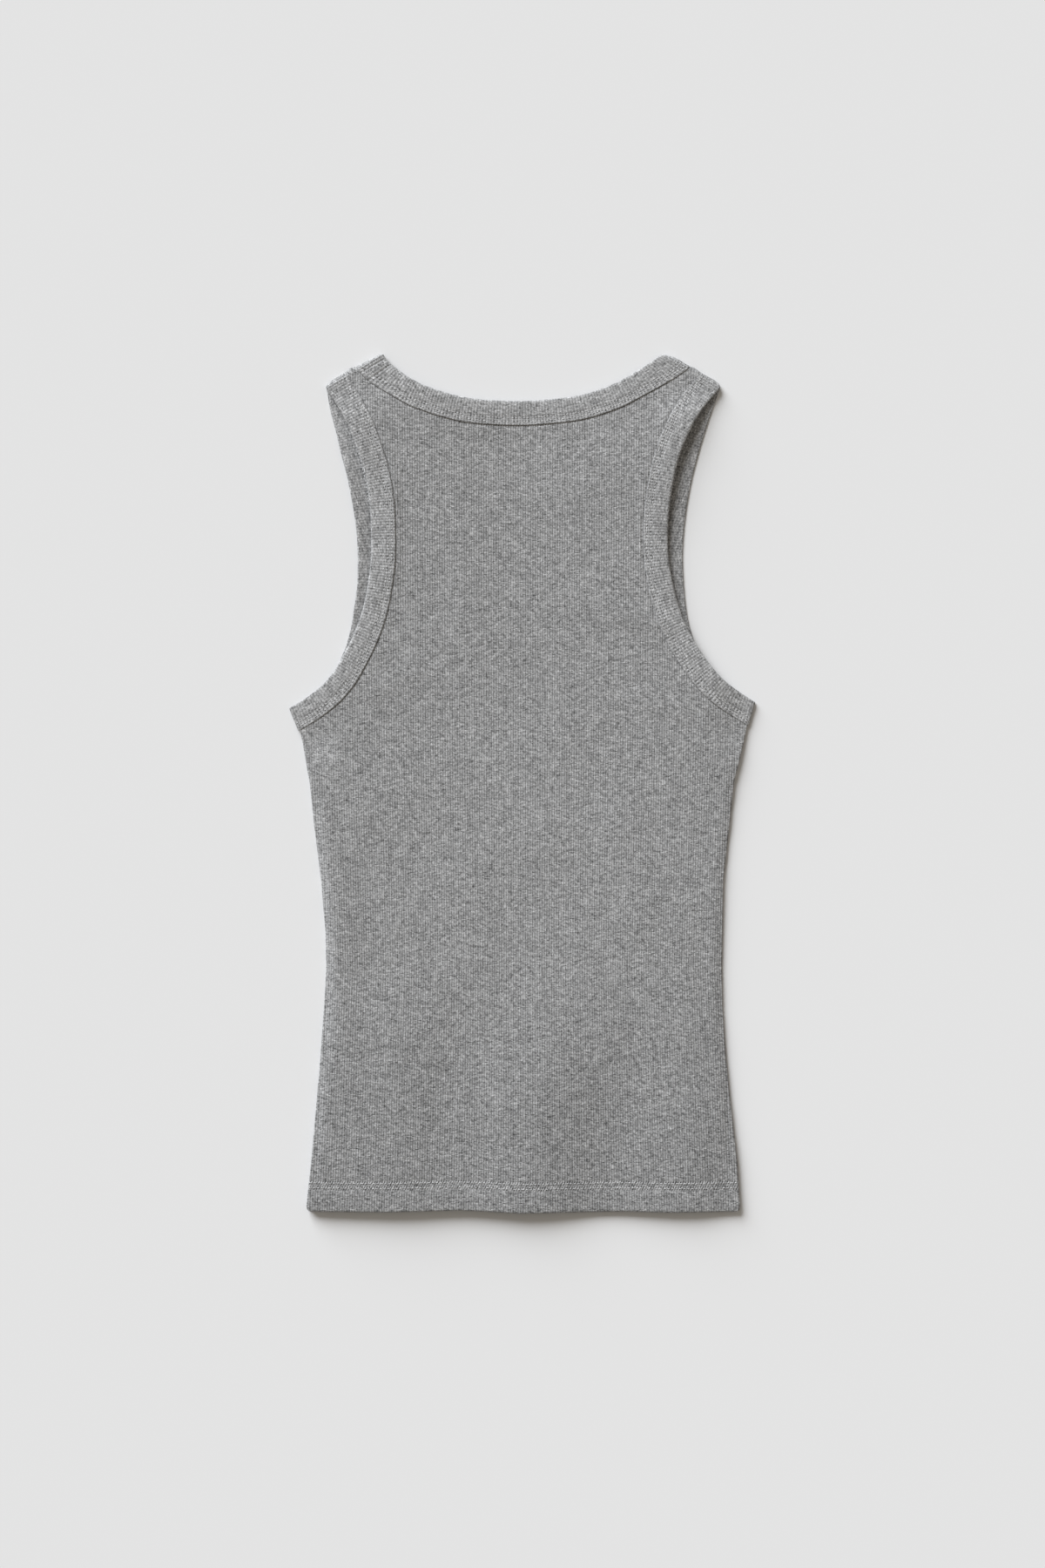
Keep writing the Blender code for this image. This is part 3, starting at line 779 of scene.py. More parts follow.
def in_outline(outline, x, y):
    """Which places lie inside the outline."""
    inside = np.zeros(x.shape, bool)
    for a, b in zip(outline, outline[1:] + outline[:1], strict=True):
        if a.y != b.y:
            crossed = ((a.y > y) != (b.y > y)) & (x < a.x + (b.x - a.x) * (y - a.y) / (b.y - a.y))
            inside ^= crossed
    return inside


def cut(outline, guides):
    """The outline filled with triangles that follow the guides: (points, triangles, border)."""
    points = list(outline)
    edges = [(k, (k + 1) % len(outline)) for k in range(len(outline))]
    for line in guides:
        edges += [(len(points) + k, len(points) + k + 1) for k in range(len(line) - 1)]
        points += line
    points, _, faces, _, _, _ = delaunay_2d_cdt(points, edges, [], 0, WELD)
    places = array(points)
    triangles = np.array(faces)
    middles = places[triangles].mean(axis=1)
    triangles = triangles[in_outline(outline, middles[:, 0], middles[:, 1])]
    sides = np.concatenate([triangles[:, (0, 1)], triangles[:, (1, 2)], triangles[:, (2, 0)]])
    known = {tuple(side) for side in sides.tolist()}
    following = {a: b for a, b in known if (b, a) not in known}
    start = min(following, key=lambda k: np.hypot(*(places[k] - outline[0])))
    border = [start]
    while following[border[-1]] != start:
        border.append(following[border[-1]])
    used, triangles = np.unique(triangles, return_inverse=True)
    renumbered = {int(old): new for new, old in enumerate(used)}
    return places[used], triangles.reshape(-1, 3), [renumbered[k] for k in border]


def shares(border, places):
    """Each border point's share of the way round."""
    run = run_along(places[[*border, border[0]]])
    return run / run[-1]


def zip_rows(first, first_shares, second, second_shares):
    """Triangles between two closed rows, given each point's share of the way round."""
    first, second = [*first, first[0]], [*second, second[0]]
    a = b = 0
    faces = []
    while a < len(first) - 1 or b < len(second) - 1:
        first_left, second_left = a < len(first) - 1, b < len(second) - 1
        if first_left and (not second_left or first_shares[a + 1] <= second_shares[b + 1]):
            faces.append((first[a], first[a + 1], second[b]))
            a += 1
        else:
            faces.append((first[a], second[b + 1], second[b]))
            b += 1
    return faces


def closed_panel(name, layer, outline, guides, knit):
    """A panel between an upper and a lower face, each with its own guides."""
    upper, upper_faces, upper_border = cut(outline, guides["upper"])
    lower, lower_faces, lower_border = cut(outline, guides["lower"])
    shift = len(upper)
    lower_rim = [shift + k for k in lower_border]
    rim = zip_rows(lower_rim, shares(lower_border, lower), upper_border, shares(upper_border, upper))
    places = [panel_place(upper, "upper", layer, knit), panel_place(lower, "lower", layer, knit)]
    faces = upper_faces.tolist() + (shift + lower_faces[:, ::-1]).tolist() + rim
    plan = np.concatenate([upper, lower])
    counted = np.stack([body_ribs(*plan.T, knit.body_pitch), plan[:, 1] - HEM], axis=1)
    return new_piece(name, np.concatenate(places), faces, counted[np.array(faces).ravel()])


def add_object(name, data):
    """A new object in the scene for a mesh, a light or a camera."""
    made = bpy.data.objects.new(name, data)
    bpy.context.collection.objects.link(made)
    return made


def new_piece(name, points, faces, knit):
    """One closed mesh in metres; knit holds, for each corner, the ribs counted and mm along them."""
    mesh = bpy.data.meshes.new(name)
    mesh.from_pydata((np.asarray(points) * METRES).tolist(), [], faces)
    layer = mesh.uv_layers.new(name="knit")
    layer.data.foreach_set("uv", np.asarray(knit, np.float32).ravel())
    mesh.polygons.foreach_set("use_smooth", np.ones(len(mesh.polygons), bool))
    made = bmesh.new()
    made.from_mesh(mesh)
    bmesh.ops.recalc_face_normals(made, faces=made.faces)
    made.to_mesh(mesh)
    made.free()
    mesh.set_sharp_from_angle(angle=SHARP)
    return add_object(name, mesh)


def on_turn(places, turn, radius, degrees):
    """Points on a turn: degrees from the top, radius from its middle."""
    angle = np.radians(degrees)
    reach = radius * TURN_FLAT
    for side, shoulder in SHOULDERS.items():
        if turn is shoulder:
            reach = reach + shoulder_bulge(side, turn, places)
    plan = places + np.outer(reach * np.sin(angle), np.array(turn.outward))
    return np.column_stack([plan, FOLD_LEVEL + radius * np.cos(angle)])


def shoulder_bulge(side, turn, plan):
    """How far a shoulder bulges at each place along it."""
    from_neck = turn.split(*plan.T)[0] - SHOULDER_END
    return read_column(SHOULDER_WAVES, from_neck, 1 if side < 0 else 2)


def over_shoulders(plan, flat, layer, level):
    """The flat places, with the cloth past the middle of each shoulder turn laid round it."""
    placed = flat.copy()
    for side, turn in SHOULDERS.items():
        past = turn.split(*plan.T)[1]
        moved = (past > ON_LINE) & (plan[:, 1] > ARMHOLES[0][0]) & (np.sign(plan[:, 0]) == side)
        if not moved.any():
            continue
        degrees = np.degrees(past[moved] / TURN_REACH)
        foot = plan[moved] - np.outer(past[moved], np.array(turn.outward))
        around = degrees if layer == "back" else 180 - degrees
        placed[moved] = on_turn(foot, turn, HALF_GAP + level[moved], around)
        placed[moved, 2] *= pressed(*foot.T, around / 180)
    return placed


def hem_wall(y, wall):
    """A panel's thickness, with its hem turned up."""
    return np.where(y < HEM_ENDS[1] - HEM_STEP / 2, HEM_LAYERS, wall)


def hem_moved(x, y):
    """The heights of places on a panel once its hem lies in its uneven line."""
    return y + read_column(HEM_LINE, x, 1) * fade_out(y - HEM, HEM_LINE_FADE)


def back_place(x, y, face, knit):
    """The back's height at each place, and its level in the shoulder turns."""
    top = back_top(x, y)
    if face == "lower":
        return (top - hem_wall(y, WALL)) * pressed(x, y, 0), LEAF + GAP + 0 * x
    ribs = rib_share(body_ribs(x, y, knit.body_pitch)) * row_flatten(y)
    rise = knit.rise * ribs + puff(x, y, "back")
    height = (top + rise - row_sink(y) - outline_sink(x, y)) * pressed(x, y, 0)
    return height, LEAF + GAP + WALL + rise


def front_place(x, y, face, knit):
    """The front's height at each place, and its level in the shoulder turns."""
    bottom = front_bottom(x, y)
    level = BAND_THICK - FRONT_LIFT
    if face == "upper":
        height = (bottom + hem_wall(y, WALL)) * pressed(x, y, 1) + curl(x, y)
        lip = (1 - fade_in(from_sides(x, y), *LIP)) * (y < UNDERARMS[1].seam.y)
        under_back = (back_top(x, y) - WALL) * pressed(x, y, 0) - LIP_GAP
        height += np.maximum(under_back - height, 0.0) * lip * (y > HEM_ENDS[1])
        return height, level - WALL + 0 * x
    sunk = knit.rise * (1 - rib_share(body_ribs(x, y, knit.body_pitch))) - puff(x, y, "front")
    height = (bottom + sunk + row_sink(y) + outline_sink(x, y)) * pressed(x, y, 1) + curl(x, y)
    return height, level - sunk


def panel_place(plan, face, layer, knit):
    """The place in space of each point of a panel's plan, on one of its faces."""
    x, y = plan.T
    height, level = (back_place if layer == "back" else front_place)(x, y, face, knit)
    return over_shoulders(plan, np.column_stack([x, hem_moved(x, y), height]), layer, level)


def beside_sides(reaches):
    """Lines inside both sides at these distances."""
    return [
        [Vector((row[column] + way * reach, row[0])) for row in SIDES]
        for column, way in ((1, 1), (2, -1))
        for reach in reaches
    ]


def side_guides():
    """Lines beside the hem and the sides that round their edges."""
    lines = rows_across(HEM + reach for reach in (*EDGE_LINES, 2 * EDGE_ROUND))
    return lines + beside_sides(EDGE_LINES)


def sewn_guides():
    """Lines along the hem's stitches."""
    return rows_across(HEM + row + off for row in HEM_ROWS for off in (-ROW_WIDTH, 0.0, ROW_WIDTH))


def seam_guides(layer):
    """Lines along the foot and the top of the swelling beside each binding."""
    lines = []
    for points, ways in SEAM_LINES[layer]:
        for reach in (*PUFF_START, sum(PUFF_START)):
            lines.append([Vector(p) for p in points + ways * reach])
    return lines


def slot_guides(layer):
    """Lines along the part of a panel that lies in the armholes' bindings."""
    return [inside_of("arm", side, layer, reach) for side in (-1, 1) for reach in SLOT_REACHES]


def ribbed_guides(pitch, layer):
    """Every line that a ribbed face needs."""
    rows = rows_across(np.arange(HEM + ROW_STEP, SHOULDERS[1].free.y + ROW_STEP, ROW_STEP))
    across = side_guides() + sewn_guides() + shoulder_guides() + seam_guides(layer)
    return rib_lines(pitch / RIB_COLUMNS) + rows + across + slot_guides(layer)


def plain_guides(layer):
    """Every line that a face without ribs needs."""
    rows = rows_across([*HEM_ENDS, *np.arange(HEM + PLAIN_FOOT, PLAIN_TOP, ROW_STEP)])
    across = beside_sides((*LIP, DROOP / 2)) + shoulder_guides() + slot_guides(layer)
    return rib_lines(PLAIN_STEP) + rows + across


# Bindings


def band_profile():
    """The section of a binding, all round: (across, level, outward across, outward up, rib share)."""
    outer = [(across, BAND_THICK - sunk, 0.0, 1.0, ribs) for across, sunk, ribs in LEAF_FACE]
    inner = [(across, sunk, 0.0, -1.0, ribs) for across, sunk, ribs in LEAF_FACE]
    fold = []
    for k in range(1, FOLD_POINTS + 1):
        turn = math.pi * k / (FOLD_POINTS + 1)
        out, up = -math.sin(turn), math.cos(turn)
        fold.append((FOLD_ROUND * (1 + out), BAND_THICK / 2 * (1 + up), out, up, FOLD_RIBS))
    depth = np.linspace(BAND_WIDTH, SLOT_END, SLOT_POINTS).tolist()
    slot = [(across, LEAF, 0.0, 0.0, 0.0) for across in depth]
    slot += [(across, BAND_THICK - LEAF, 0.0, 0.0, 0.0) for across in depth[::-1]]
    return outer[::-1] + fold + inner + slot


def fine_line(curve):
    """A smooth line in fine steps, and how many of them lie before each point of the curve."""
    steps = [max(1, round((b - a).length / FINE_STEP)) for a, b in zip(curve, curve[1:], strict=False)]
    return array(spline(curve, FINE_STEP)), np.concatenate([[0], np.cumsum(steps)])


def read_line(line, at):
    """The places on a line this many of its points from the start."""
    return np.column_stack([np.interp(at, np.arange(len(line)), column) for column in line.T])


def resample(curve, seam, count):
    """Pairs of points at equal steps along a smooth line through a folded edge and its seam."""
    (free, free_knots), (inner, inner_knots) = fine_line(curve), fine_line(seam)
    run = run_along(free)
    at = np.interp(np.linspace(0, run[-1], count, endpoint=False), run, np.arange(len(free)))
    return read_line(free, at), read_line(inner, np.interp(at, free_knots, inner_knots))


class Ring:
    """A closed binding's stations: along the back, round a turn, along the front, and round again."""

    def __init__(self, name, place, side, pitch):
        self.name, self.joined = name, place == "neck"
        self.length, self.turns = 0.0, []
        free, seam, degrees = [], [], []
        first_turn, last_turn = end_turns(place, side)
        for layer, turn in (("back", last_turn), ("front", first_turn)):
            lines = EDGES[place, side, layer], SEAMS[place, side, layer]
            if layer == "front":
                lines = [line[::-1] for line in lines]
            run = lengths(lines[0])[-1]
            count = max(LEAST_STATIONS, round(run / pitch) * RIB_COLUMNS)
            turned = max(LEAST_STATIONS, round(TURN_LENGTH / pitch) * RIB_COLUMNS)
            for parts, line, ends in zip((free, seam), resample(*lines, count), lines, strict=True):
                parts.extend([line, np.tile(ends[-1][:], (turned, 1))])
            around = 180.0 * np.arange(turned) / turned
            around = np.concatenate([np.zeros(count), around])
            degrees.append(around if layer == "back" else 180.0 - around)
            self.turns += [None] * count + [turn] * turned
            self.length += run + TURN_LENGTH
        self.free, self.seam, self.degrees = (np.concatenate(parts) for parts in (free, seam, degrees))
        self.flat = np.array([turn is None for turn in self.turns])
        self.back = self.flat & (self.degrees == 0)
        self.step = lengths(EDGES[place, side, "back"])[-1] / np.count_nonzero(self.back)
        self.ribs = np.arange(len(self.free)) / RIB_COLUMNS

    def line(self, across, level):
        """The places of one line of the profile at every station; level may differ by station."""
        level = np.broadcast_to(np.asarray(level, float), (len(self.free),))
        plan = self.free + (self.seam - self.free) * across / BAND_WIDTH
        placed = np.column_stack([plan, BAND_THICK - level])
        placed[self.back, 2] = back_top(*plan[self.back].T) - WALL - GAP - LEAF + level[self.back]
        for turn in {t for t in self.turns if t}:
            here = np.array([t is turn for t in self.turns])
            placed[here] = on_turn(plan[here], turn, HALF_GAP + level[here], self.degrees[here])
        around = self.degrees / 180
        placed[:, 2] = placed[:, 2] * pressed(*plan.T, around) + curl(*plan.T) * around
        return placed

    def join(self):
        """How far the seam that makes the neck's strip a ring stands out at each station."""
        if not self.joined:
            return np.zeros(len(self.free))
        along = np.where(self.back, np.arange(len(self.free)) * self.step, np.inf)
        first, last = JOINS
        rise = JOIN_RISE * smooth((along - first) / JOIN_ROUND) * smooth((last - along) / JOIN_ROUND)
        for line in JOINS:
            rise = rise - JOIN_SUNK * fade_out(np.abs(along - line), JOIN_LINE)
        return rise

    def mesh(self, rise):
        """The binding, with ribs all round it raised on its outer faces."""
        ribs = rise * BAND_RIBS * rib_share(self.ribs)
        ribs = ribs * np.where(self.flat, 1.0, TURN_RIBS) + self.join()
        profile = band_profile()
        lines = []
        for across, level, out_across, out_up, share in profile:
            base = self.line(across, level)
            if share:
                moved = self.line(across + out_across, level + out_up)
                base = base + (moved - base) * (ribs * share)[:, None]
            lines.append(base)
        points = np.stack(lines, axis=1).reshape(-1, 3)
        stations, size = len(self.free), len(profile)
        i, j = np.indices((stations, size)).reshape(2, -1)
        here, ahead, past = i * size, (i + 1) % stations * size, (j + 1) % size
        faces = np.stack([here + j, ahead + j, ahead + past, here + past], axis=1)
        girth = run_along(np.array([row[:2] for row in [*profile, profile[0]]]))
        girth -= girth[len(LEAF_FACE) + FOLD_POINTS // 2]
        across = np.stack([girth[j], girth[j], girth[j + 1], girth[j + 1]], axis=1)
        along = np.stack([i, i + 1, i + 1, i], axis=1) / RIB_COLUMNS
        knit = np.stack([along, across], axis=2).reshape(-1, 2)
        return new_piece(self.name, points, faces.tolist(), knit)


def round_fold(across):
    """The distance along a rib from the middle of the fold, for one from the folded edge."""
    outer = [row[:2] for row in band_profile()[: len(LEAF_FACE) + FOLD_POINTS // 2 + 1]]
    steps = [math.dist(a, b) for a, b in zip(outer, outer[1:], strict=False)]
    leaf = sorted((outer[k][0], sum(steps[k:])) for k in range(len(LEAF_FACE)))
    return float(np.interp(across, *zip(*leaf, strict=True)))


# Stitches


def stitch_path(name, points, ups, closed):
    """A line of sewing, whose points know which way the cloth faces."""
    mesh = bpy.data.meshes.new(name)
    count = len(points)
    edges = [(k, (k + 1) % count) for k in range(count if closed else count - 1)]
    mesh.from_pydata((points * METRES).tolist(), edges, [])
    facing = mesh.attributes.new("facing", "FLOAT_VECTOR", "POINT")
    facing.data.foreach_set("vector", np.asarray(ups, np.float32).ravel())
    return add_object(name, mesh)


def stitch_tree(thread):
    """Geometry nodes that lay a stitch at each step of a line, turned along it, a little unevenly."""
    tree = bpy.data.node_groups.new("tank_top_stitches", "GeometryNodeTree")
    for name in ("Geometry", "Step", "Length", "Thread", "Height", "Seed"):
        kind = {"Geometry": "Geometry", "Seed": "Int"}.get(name, "Float")
        tree.interface.new_socket(name, in_out="INPUT", socket_type=f"NodeSocket{kind}")
    tree.interface.new_socket("Geometry", in_out="OUTPUT", socket_type="NodeSocketGeometry")
    made = Nodes(tree)
    given = made.node("NodeGroupInput").outputs

    line = made.add("GeometryNodeMeshToCurve", {"Mesh": given["Geometry"]})
    spaced = {"Curve": line, "Length": given["Step"]}
    steps = made.add("GeometryNodeResampleCurve", spaced, mode="LENGTH")
    sizes = {"X": given["Length"], "Y": given["Thread"], "Z": given["Height"]}
    shaped = {
        "Geometry": made.add("GeometryNodeMeshUVSphere", STITCH_BEAD),
        "Scale": made.add("ShaderNodeCombineXYZ", sizes),
    }
    stitch = made.add("GeometryNodeTransform", shaped)
    facing = made.add("GeometryNodeInputNamedAttribute", {"Name": "facing"}, data_type="FLOAT_VECTOR")
    axes = {"Primary Axis": facing, "Secondary Axis": made.add("GeometryNodeInputTangent")}
    turned = made.add("FunctionNodeAxesToRotation", axes, primary_axis="Z", secondary_axis="X")

    def uneven(kind, least, most):
        values = {"Min": least, "Max": most, "Seed": given["Seed"]}
        return made.add("FunctionNodeRandomValue", values, data_type=kind)

    skew = {"Axis": (0.0, 0.0, 1.0), "Angle": uneven("FLOAT", -STITCH_SKEW, STITCH_SKEW)}
    skewed = {"Rotation": turned, "Rotate By": made.add("FunctionNodeAxisAngleToRotation", skew)}
    laid = {
        "Points": steps,
        "Instance": stitch,
        "Rotation": made.add("FunctionNodeRotateRotation", skewed, rotation_space="LOCAL"),
        "Scale": uneven("FLOAT_VECTOR", *STITCH_GROWTH),
    }
    row = made.add("GeometryNodeInstanceOnPoints", laid)
    real = made.add("GeometryNodeRealizeInstances", {"Geometry": row})
    coloured = made.add("GeometryNodeSetMaterial", {"Geometry": real, "Material": thread})
    made.node("NodeGroupOutput", {"Geometry": coloured})
    return tree


def sewn(path, tree, values, thread):
    """The path's stitches as a plain mesh."""
    modifier = path.modifiers.new("stitches", "NODES")
    modifier.node_group = tree
    for item in tree.interface.items_tree:
        if item.item_type == "SOCKET" and item.in_out == "INPUT" and item.name in values:
            modifier[item.identifier] = values[item.name]
    seen = path.evaluated_get(bpy.context.evaluated_depsgraph_get())
    mesh = bpy.data.meshes.new_from_object(seen)
    mesh.materials.clear()
    mesh.materials.append(thread)
    bpy.data.objects.remove(path)
    return mesh


def joined(name, meshes, thread):
    """One object from several meshes, which are removed."""
    made = bmesh.new()
    for mesh in meshes:
        made.from_mesh(mesh)
        bpy.data.meshes.remove(mesh)
    whole = bpy.data.meshes.new(name)
    made.to_mesh(whole)
    made.free()
    whole.polygons.foreach_set("use_smooth", np.ones(len(whole.polygons), bool))
    whole.materials.append(thread)
    return add_object(name, whole)


# Materials


class Nodes:
    """Short ways to add nodes to a tree."""

    def __init__(self, tree):
        self.tree = tree

    def feed(self, socket, value):
        """Link another node's socket to this one, or give it a constant."""
        if isinstance(value, bpy.types.NodeSocket):
            self.tree.links.new(value, socket)
        else:
            socket.default_value = value

    def node(self, kind, inputs=None, **settings):
        """A node with these settings, whose inputs are linked to sockets or hold values."""
        node = self.tree.nodes.new(kind)
        for key, value in settings.items():
            setattr(node, key, value)
        for key, value in (inputs or {}).items():
            self.feed(node.inputs[key], value)
        return node

    def add(self, kind, inputs=None, **settings):
        """The first output in use of such a node."""
        return next(socket for socket in self.node(kind, inputs, **settings).outputs if socket.enabled)


class Paint(Nodes):
    """A new material, and sums with its sockets and numbers."""

    def __init__(self, name):
        self.material = bpy.data.materials.new(name)
        self.material.use_nodes = True
        super().__init__(self.material.node_tree)

    def surface(self, inputs):
        """The material, once the shader has these inputs."""
        for key, value in inputs.items():
            self.feed(self.tree.nodes["Principled BSDF"].inputs[key], value)
        return self.material

    def calc(self, operation, *values):
        """The result of a math node."""
        return self.add("ShaderNodeMath", dict(enumerate(values)), operation=operation)

    def times(self, a, b):
        return self.calc("MULTIPLY", a, b)

    def minus(self, a, b):
        return self.calc("SUBTRACT", a, b)

    def plus(self, a, b):
        return self.calc("ADD", a, b)

    def times_plus(self, a, b, c):
        return self.calc("MULTIPLY_ADD", a, b, c)

    def clamp(self, value, low, high):
        return self.calc("MAXIMUM", self.calc("MINIMUM", value, high), low)

    def vector(self, x, y):
        return self.add("ShaderNodeCombineXYZ", {"X": x, "Y": y})

    def noise(self, vector, scale=1.0, rough=0.5):
        inputs = {"Vector": vector, "Scale": scale, "Detail": NOISE_DETAIL, "Roughness": rough}
        return self.add("ShaderNodeTexNoise", inputs, noise_dimensions="3D")

    def ramp(self, value, steps):
        """The colour for a value, between steps of (position, colour)."""
        node = self.node("ShaderNodeValToRGB", {"Fac": value})
        elements = node.color_ramp.elements
        for position, _ in steps[1:-1]:
            elements.new(position)
        for element, (position, colour) in zip(elements, steps, strict=True):
            element.position = position
            element.color = (*colour, 1.0)
        return node.outputs["Color"]


def near_rows(made, ribs, along, rows, reach, lean):
    """The count of ribs where each row of stitches pulls them over, and how near a row is, 0 to 1."""
    from_edge = made.calc("ABSOLUTE", along)
    near = 0.0
    for row in rows:
        past = made.clamp(made.calc("DIVIDE", made.minus(from_edge, row), reach), -1.0, 1.0)
        ribs = made.times_plus(past, -0.5 * lean, ribs)
        here = made.minus(1.0, made.calc("ABSOLUTE", past))
        near = made.plus(near, made.calc("MINIMUM", made.times(here, ROW_STRENGTH), 1.0))
    return ribs, near


def jersey(name, pitch, rows, reach, lean, look, painted_hem_shade=0.0, bright=1.0):
    """Heather rib jersey: fibres mixed from light and dark, on ridges made lighter and valleys made
    darker by painted light and shade.

    rows are the distances along a rib to its rows of stitches, and reach is how far these change it.
    lean is 1 where they pull the ribs over and 0 where they don't.  painted_hem_shade is how much
    painted shade darkens the cloth towards the hem.
    """
    made = Paint(name)
    times, plus, minus, times_plus = made.times, made.plus, made.minus, made.times_plus
    knit = made.add("ShaderNodeUVMap", uv_map="knit")
    ribs, along = made.node("ShaderNodeSeparateXYZ", {"Vector": knit}).outputs[:2]
    across = times(ribs, pitch)
    course = made.calc("DIVIDE", along, look.course)
    row = made.calc("FLOOR", course)
    wale = made.calc("FLOOR", times(ribs, 2.0))

    # at each row of stitches the ribs lean over by a whole rib, unevenly, and the valleys open as holes
    # that painted shade darkens
    leaning, near = near_rows(made, ribs, along, rows, reach, lean)
    ridge = times_plus(made.calc("COSINE", times(leaning, 2 * math.pi)), 0.5, 0.5)
    uneven = times_plus(made.noise(made.vector(times(across, SEWN_CHANGE), 0.0)), *SEWN_UNEVEN)
    near = times(near, made.clamp(uneven, LEAST_SEWN, 1.0))

    yarn = made.noise(made.vector(times(across, YARN_CHANGE[0]), times(row, YARN_CHANGE[1])))
    place = {"Vector": made.vector(wale, row)}
    loop = made.add("ShaderNodeTexWhiteNoise", place, noise_dimensions="2D")
    fibre = made.vector(times(across, FIBRE_CHANGE[0]), times(along, FIBRE_CHANGE[1]))
    fibre = made.noise(fibre, *FIBRE_NOISE)
    cloud = made.noise(made.vector(times(across, CLOUD_CHANGE[0]), times(along, CLOUD_CHANGE[1])))

    # besides the fibres' own tones, painted light and shade make the ridges lighter and the valleys
    # darker, over the shade from the ribs' relief
    shade = times(minus(yarn, 0.5), look.yarn)
    changes = ((loop, look.loop), (fibre, look.fibre), (cloud, look.cloud), (ridge, look.ridge))
    for change, most in changes:
        shade = times_plus(minus(change, 0.5), most, shade)
    # painted shade in the holes that the rows open in the valleys, and painted light on the ridges
    # beside them
    shade = times_plus(near, times(minus(ridge, HOLE_EDGE), look.sewn), shade)
    # painted shade: the cloth is made darker towards the hem, fading out higher up
    ends = {"From Min": PAINTED_HEM_SHADE_SPAN[0], "From Max": PAINTED_HEM_SHADE_SPAN[1], "To Min": 0.5 - painted_hem_shade, "To Max": 0.5}
    closed = made.add("ShaderNodeMapRange", {"Value": along, **ends}, interpolation_type="SMOOTHSTEP")
    steps = [
        (position, [bright * part for part in colour])
        for position, colour in ((0.0, look.dark), (0.5, look.middle), (1.0, look.light))
    ]

    # each loop is a V whose legs lean into the middle of its rib
    leg = made.calc("ABSOLUTE", made.calc("SINE", times(ribs, math.pi)))
    vee = made.calc("SINE", times(plus(course, leg), 2 * math.pi))
    height = times_plus(vee, VEE_SHARE, times(fibre, FIBRE_SHARE))
    height = times_plus(near, ridge, height)
    depth = {"Strength": BUMP_STRENGTH, "Distance": look.bump, "Height": height}
    bump, colour = made.add("ShaderNodeBump", depth), made.ramp(plus(shade, closed), steps)
    return made.surface({"Base Color": colour, "Normal": bump, **CLOTH_SURFACE})


def thread_material(colour):
    """Matt sewing thread with a little twist in its shade."""
    made = Paint("sewing_thread")
    speck = made.noise(made.node("ShaderNodeTexCoord").outputs["Object"], THREAD_SPECKS)
    steps = [(position, [share * part for part in colour]) for position, share in THREAD_SHADES]
    return made.surface({"Base Color": made.ramp(speck, steps), **THREAD_SURFACE})


# Settings


def size_property(name, about, default, low=0.0, high=1.0):
    return bpy.props.FloatProperty(
        name=name, description=about, default=default, min=low, max=high, unit="LENGTH", precision=5
    )


def share_property(name, about, default, high=4.0):
    return bpy.props.FloatProperty(name=name, description=about, default=default, min=0.0, max=high)


def colour_property(name, about, default):
    return bpy.props.FloatVectorProperty(
        name=name, description=about, default=default, min=0.0, max=1.0, subtype="COLOR", size=3
    )


def angle_property(name, about, degrees):
    return bpy.props.FloatProperty(
        name=name, description=about, default=math.radians(degrees), unit="ROTATION"
    )


class TankTopKnit(bpy.types.PropertyGroup):
    """Sizes and colours of the rib jersey."""

    body_pitch: size_property("Body rib", "From one rib to the next across the panels", 0.00168)
    band_pitch: size_property("Binding rib", "From one rib to the next along the bindings", 0.00195)
    rise: size_property("Rib rise", "Height of a rib over its valleys", 0.00029)
    course: size_property("Course", "Height of one row of loops", 0.00078)
    bump: size_property("Loop depth", "Depth of the knitted loops", 0.00022)
    dark: colour_property("Dark fibre", "Colour of the darkest fibres", (0.04, 0.04, 0.04))
    middle: colour_property("Middle grey", "Colour of dark and light fibres mixed", (0.29, 0.29, 0.29))
    light: colour_property("Light fibre", "Colour of the lightest fibres", (0.64, 0.64, 0.64))
    yarn: share_property("Yarn change", "How much the shade drifts along a yarn", 1.2)
    loop: share_property("Loop change", "How much the shade differs from loop to loop", 0.34)
    fibre: share_property("Fibre change", "How much single fibres show", 0.92)
    cloud: share_property("Patch change", "How much the shade drifts from patch to patch", 0.2)
    # painted shade: how much darker the rib valleys are painted, over the shade from the ribs' relief
    ridge: share_property("Rib contrast", "How much darker the valleys are", 0.175)
    # painted shade in the valleys' holes at the rows of stitches, with the ridges there painted lighter
    sewn: share_property("Sewn contrast", "How much darker the valleys are at a row of stitches", 0.55)
    # painted shade that darkens the cloth towards the hem
    painted_hem_shade: share_property("Hem shade", "How much painted shade darkens the cloth near the hem", 0.055)
    binding: share_property("Binding brightness", "The bindings' brightness against the panels'", 1.08)


class TankTopSewing(bpy.types.PropertyGroup):
    """Sizes and colour of the stitches."""

    step: size_property("Stitch step", "From one stitch to the next", 0.0028)
    length: size_property("Stitch length", "Thread that shows in one stitch", 0.0023)
    thread: size_property("Thread width", "Width of the thread", 0.0006)
    height: size_property("Thread height", "Height of the thread", 0.00055)
    colour: colour_property("Thread colour", "Colour of the sewing thread", (0.48, 0.48, 0.48))


